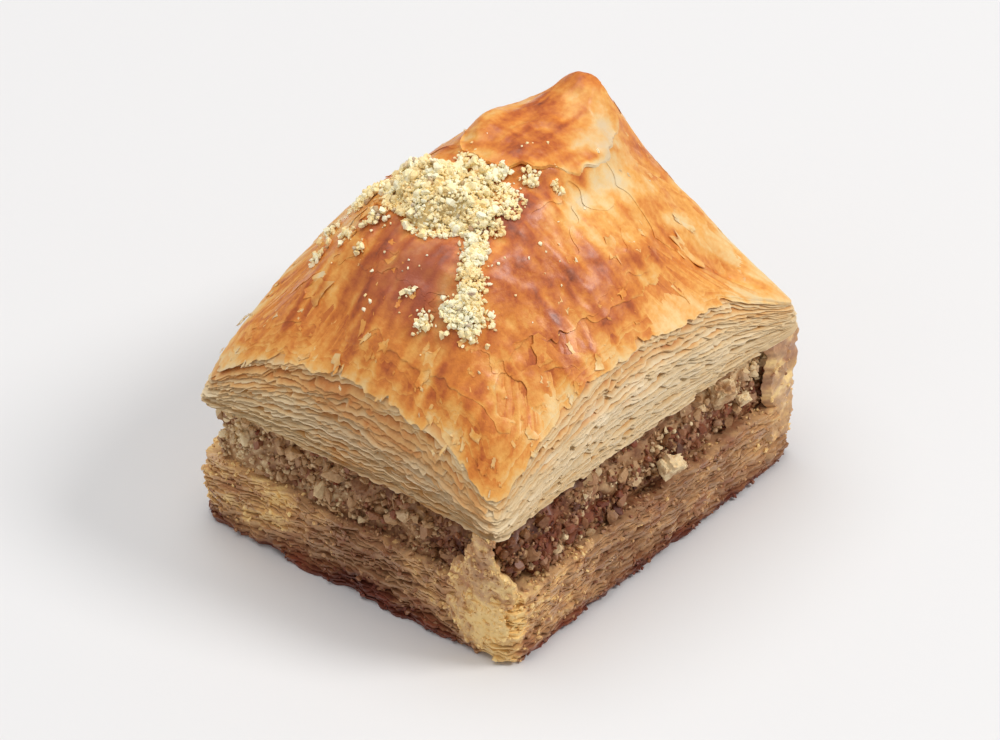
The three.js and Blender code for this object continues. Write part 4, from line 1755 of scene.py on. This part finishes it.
def build_mound(rings=34, points=150):
    """Soft lumpy mound of the finest crumbs, under the grains."""
    turn = np.arange(points) / points * 2 * np.pi
    stack = []
    for reach in np.linspace(0.96, 0.04, rings):
        x = HEAP_CENTRE[0] + HEAP_HALF[0] * np.cos(turn) * reach * heap_outline(turn)
        y = HEAP_CENTRE[1] + HEAP_HALF[1] * np.sin(turn) * reach * heap_outline(turn)
        fine = 0.1 * rough_over(x, y, 0.4, 2.0, 2)
        full = np.clip((1 - reach) * 6, 0, 1)
        stack.append(on_crust(x, y, (heap_rise(x, y) + fine - 0.25) * full - 0.2 * (1 - full)))
    middle = on_crust(*HEAP_CENTRE[:, None], 0.0)[0]
    points, faces = capped_rings(np.array(stack), middle - [0, 0, 0.8], stack[-1].mean(0))
    tone = 0.5 + 0.3 * rough(*(points.T / 0.8), 2)
    return points, faces, {"tone": tone, "skin": np.zeros(len(points))}


random = np.random.default_rng(SEED + 9)
crumbs = join(
    build_mound(),
    *(crumb_grains(random, heap_spots(random, count), *look) for count, *look in HEAP_GRAINS),
    crumb_grains(random, clump_spots(random), CLUMP_SIZES, 1),
    crumb_grains(random, stray_spots(random), STRAY_SIZES, 1),
)
add_piece("nut_crumbs", crumbs, "top_pastry", crumb_finish, smooth=False)
print("all pieces together have", sum(triangle_counts.values()), "triangles")

# %% [markdown]
# ## Floor and light
#
# A plain pale floor, a dim even sky, and three soft lamps: a broad one
# overhead, a smaller one from the right and behind, and a weak one from the
# front left. The upper lamp makes the slopes brighter than the cut faces. The
# right one makes the right face lighter than the front, and draws the syrup's
# gloss along the crust. The weak one opens the shadows of the front.

# %% Floor
FLOOR_HALF = 2.0


def floor_finish():
    finish = Finish("floor")
    height = finish.speckle(3.0)
    return finish.done(tint(228, 228, 230), 0.6, finish.relief(height, 0.01))


def add_floor():
    mesh = bpy.data.meshes.new("floor")
    corners = [(-1, -1), (1, -1), (1, 1), (-1, 1)]
    points = [(x * FLOOR_HALF, y * FLOOR_HALF, 0.0) for x, y in corners]
    mesh.from_pydata(points, [], [(0, 1, 2, 3)])
    mesh.materials.append(floor_finish())
    floor = add_object("floor", mesh)


add_floor()
print("floor is", 2 * FLOOR_HALF, "m wide")

# %% Lights
LAMP_DISTANCE = 0.9
LAMPS = [
    # name, direction it comes from, size in m, watts, colour
    ("key", (0.75, 0.5, 1.0), 0.3, 3.8, (1.0, 0.98, 0.95)),
    ("top", (-0.2, 0.0, 1.0), 0.9, 5.0, (1.0, 0.99, 0.97)),
    ("fill", (-0.4, -1.0, 0.6), 0.8, 0.4, (0.97, 0.98, 1.0)),
]
SKY = (0.99, 0.985, 0.975, 1.0)
SKY_STRENGTH = 0.32


def add_lamp(name, way, size, watts, colour):
    data = bpy.data.lights.new(name, "AREA")
    data.shape = "DISK"
    data.size = size
    data.energy = watts
    data.color = colour
    lamp = add_object(name, data)
    way = Vector(way).normalized()
    lamp.location = way * LAMP_DISTANCE
    lamp.rotation_euler = way.to_track_quat("Z", "Y").to_euler()


def add_sky():
    world = bpy.data.worlds.new("sky")
    world.use_nodes = True
    background = world.node_tree.nodes["Background"]
    background.inputs["Color"].default_value = SKY
    background.inputs["Strength"].default_value = SKY_STRENGTH
    bpy.context.scene.world = world


for lamp in LAMPS:
    add_lamp(*lamp)
add_sky()
bpy.context.scene.view_settings.view_transform = "Standard"
print("lamps:", [name for name, *_ in LAMPS])
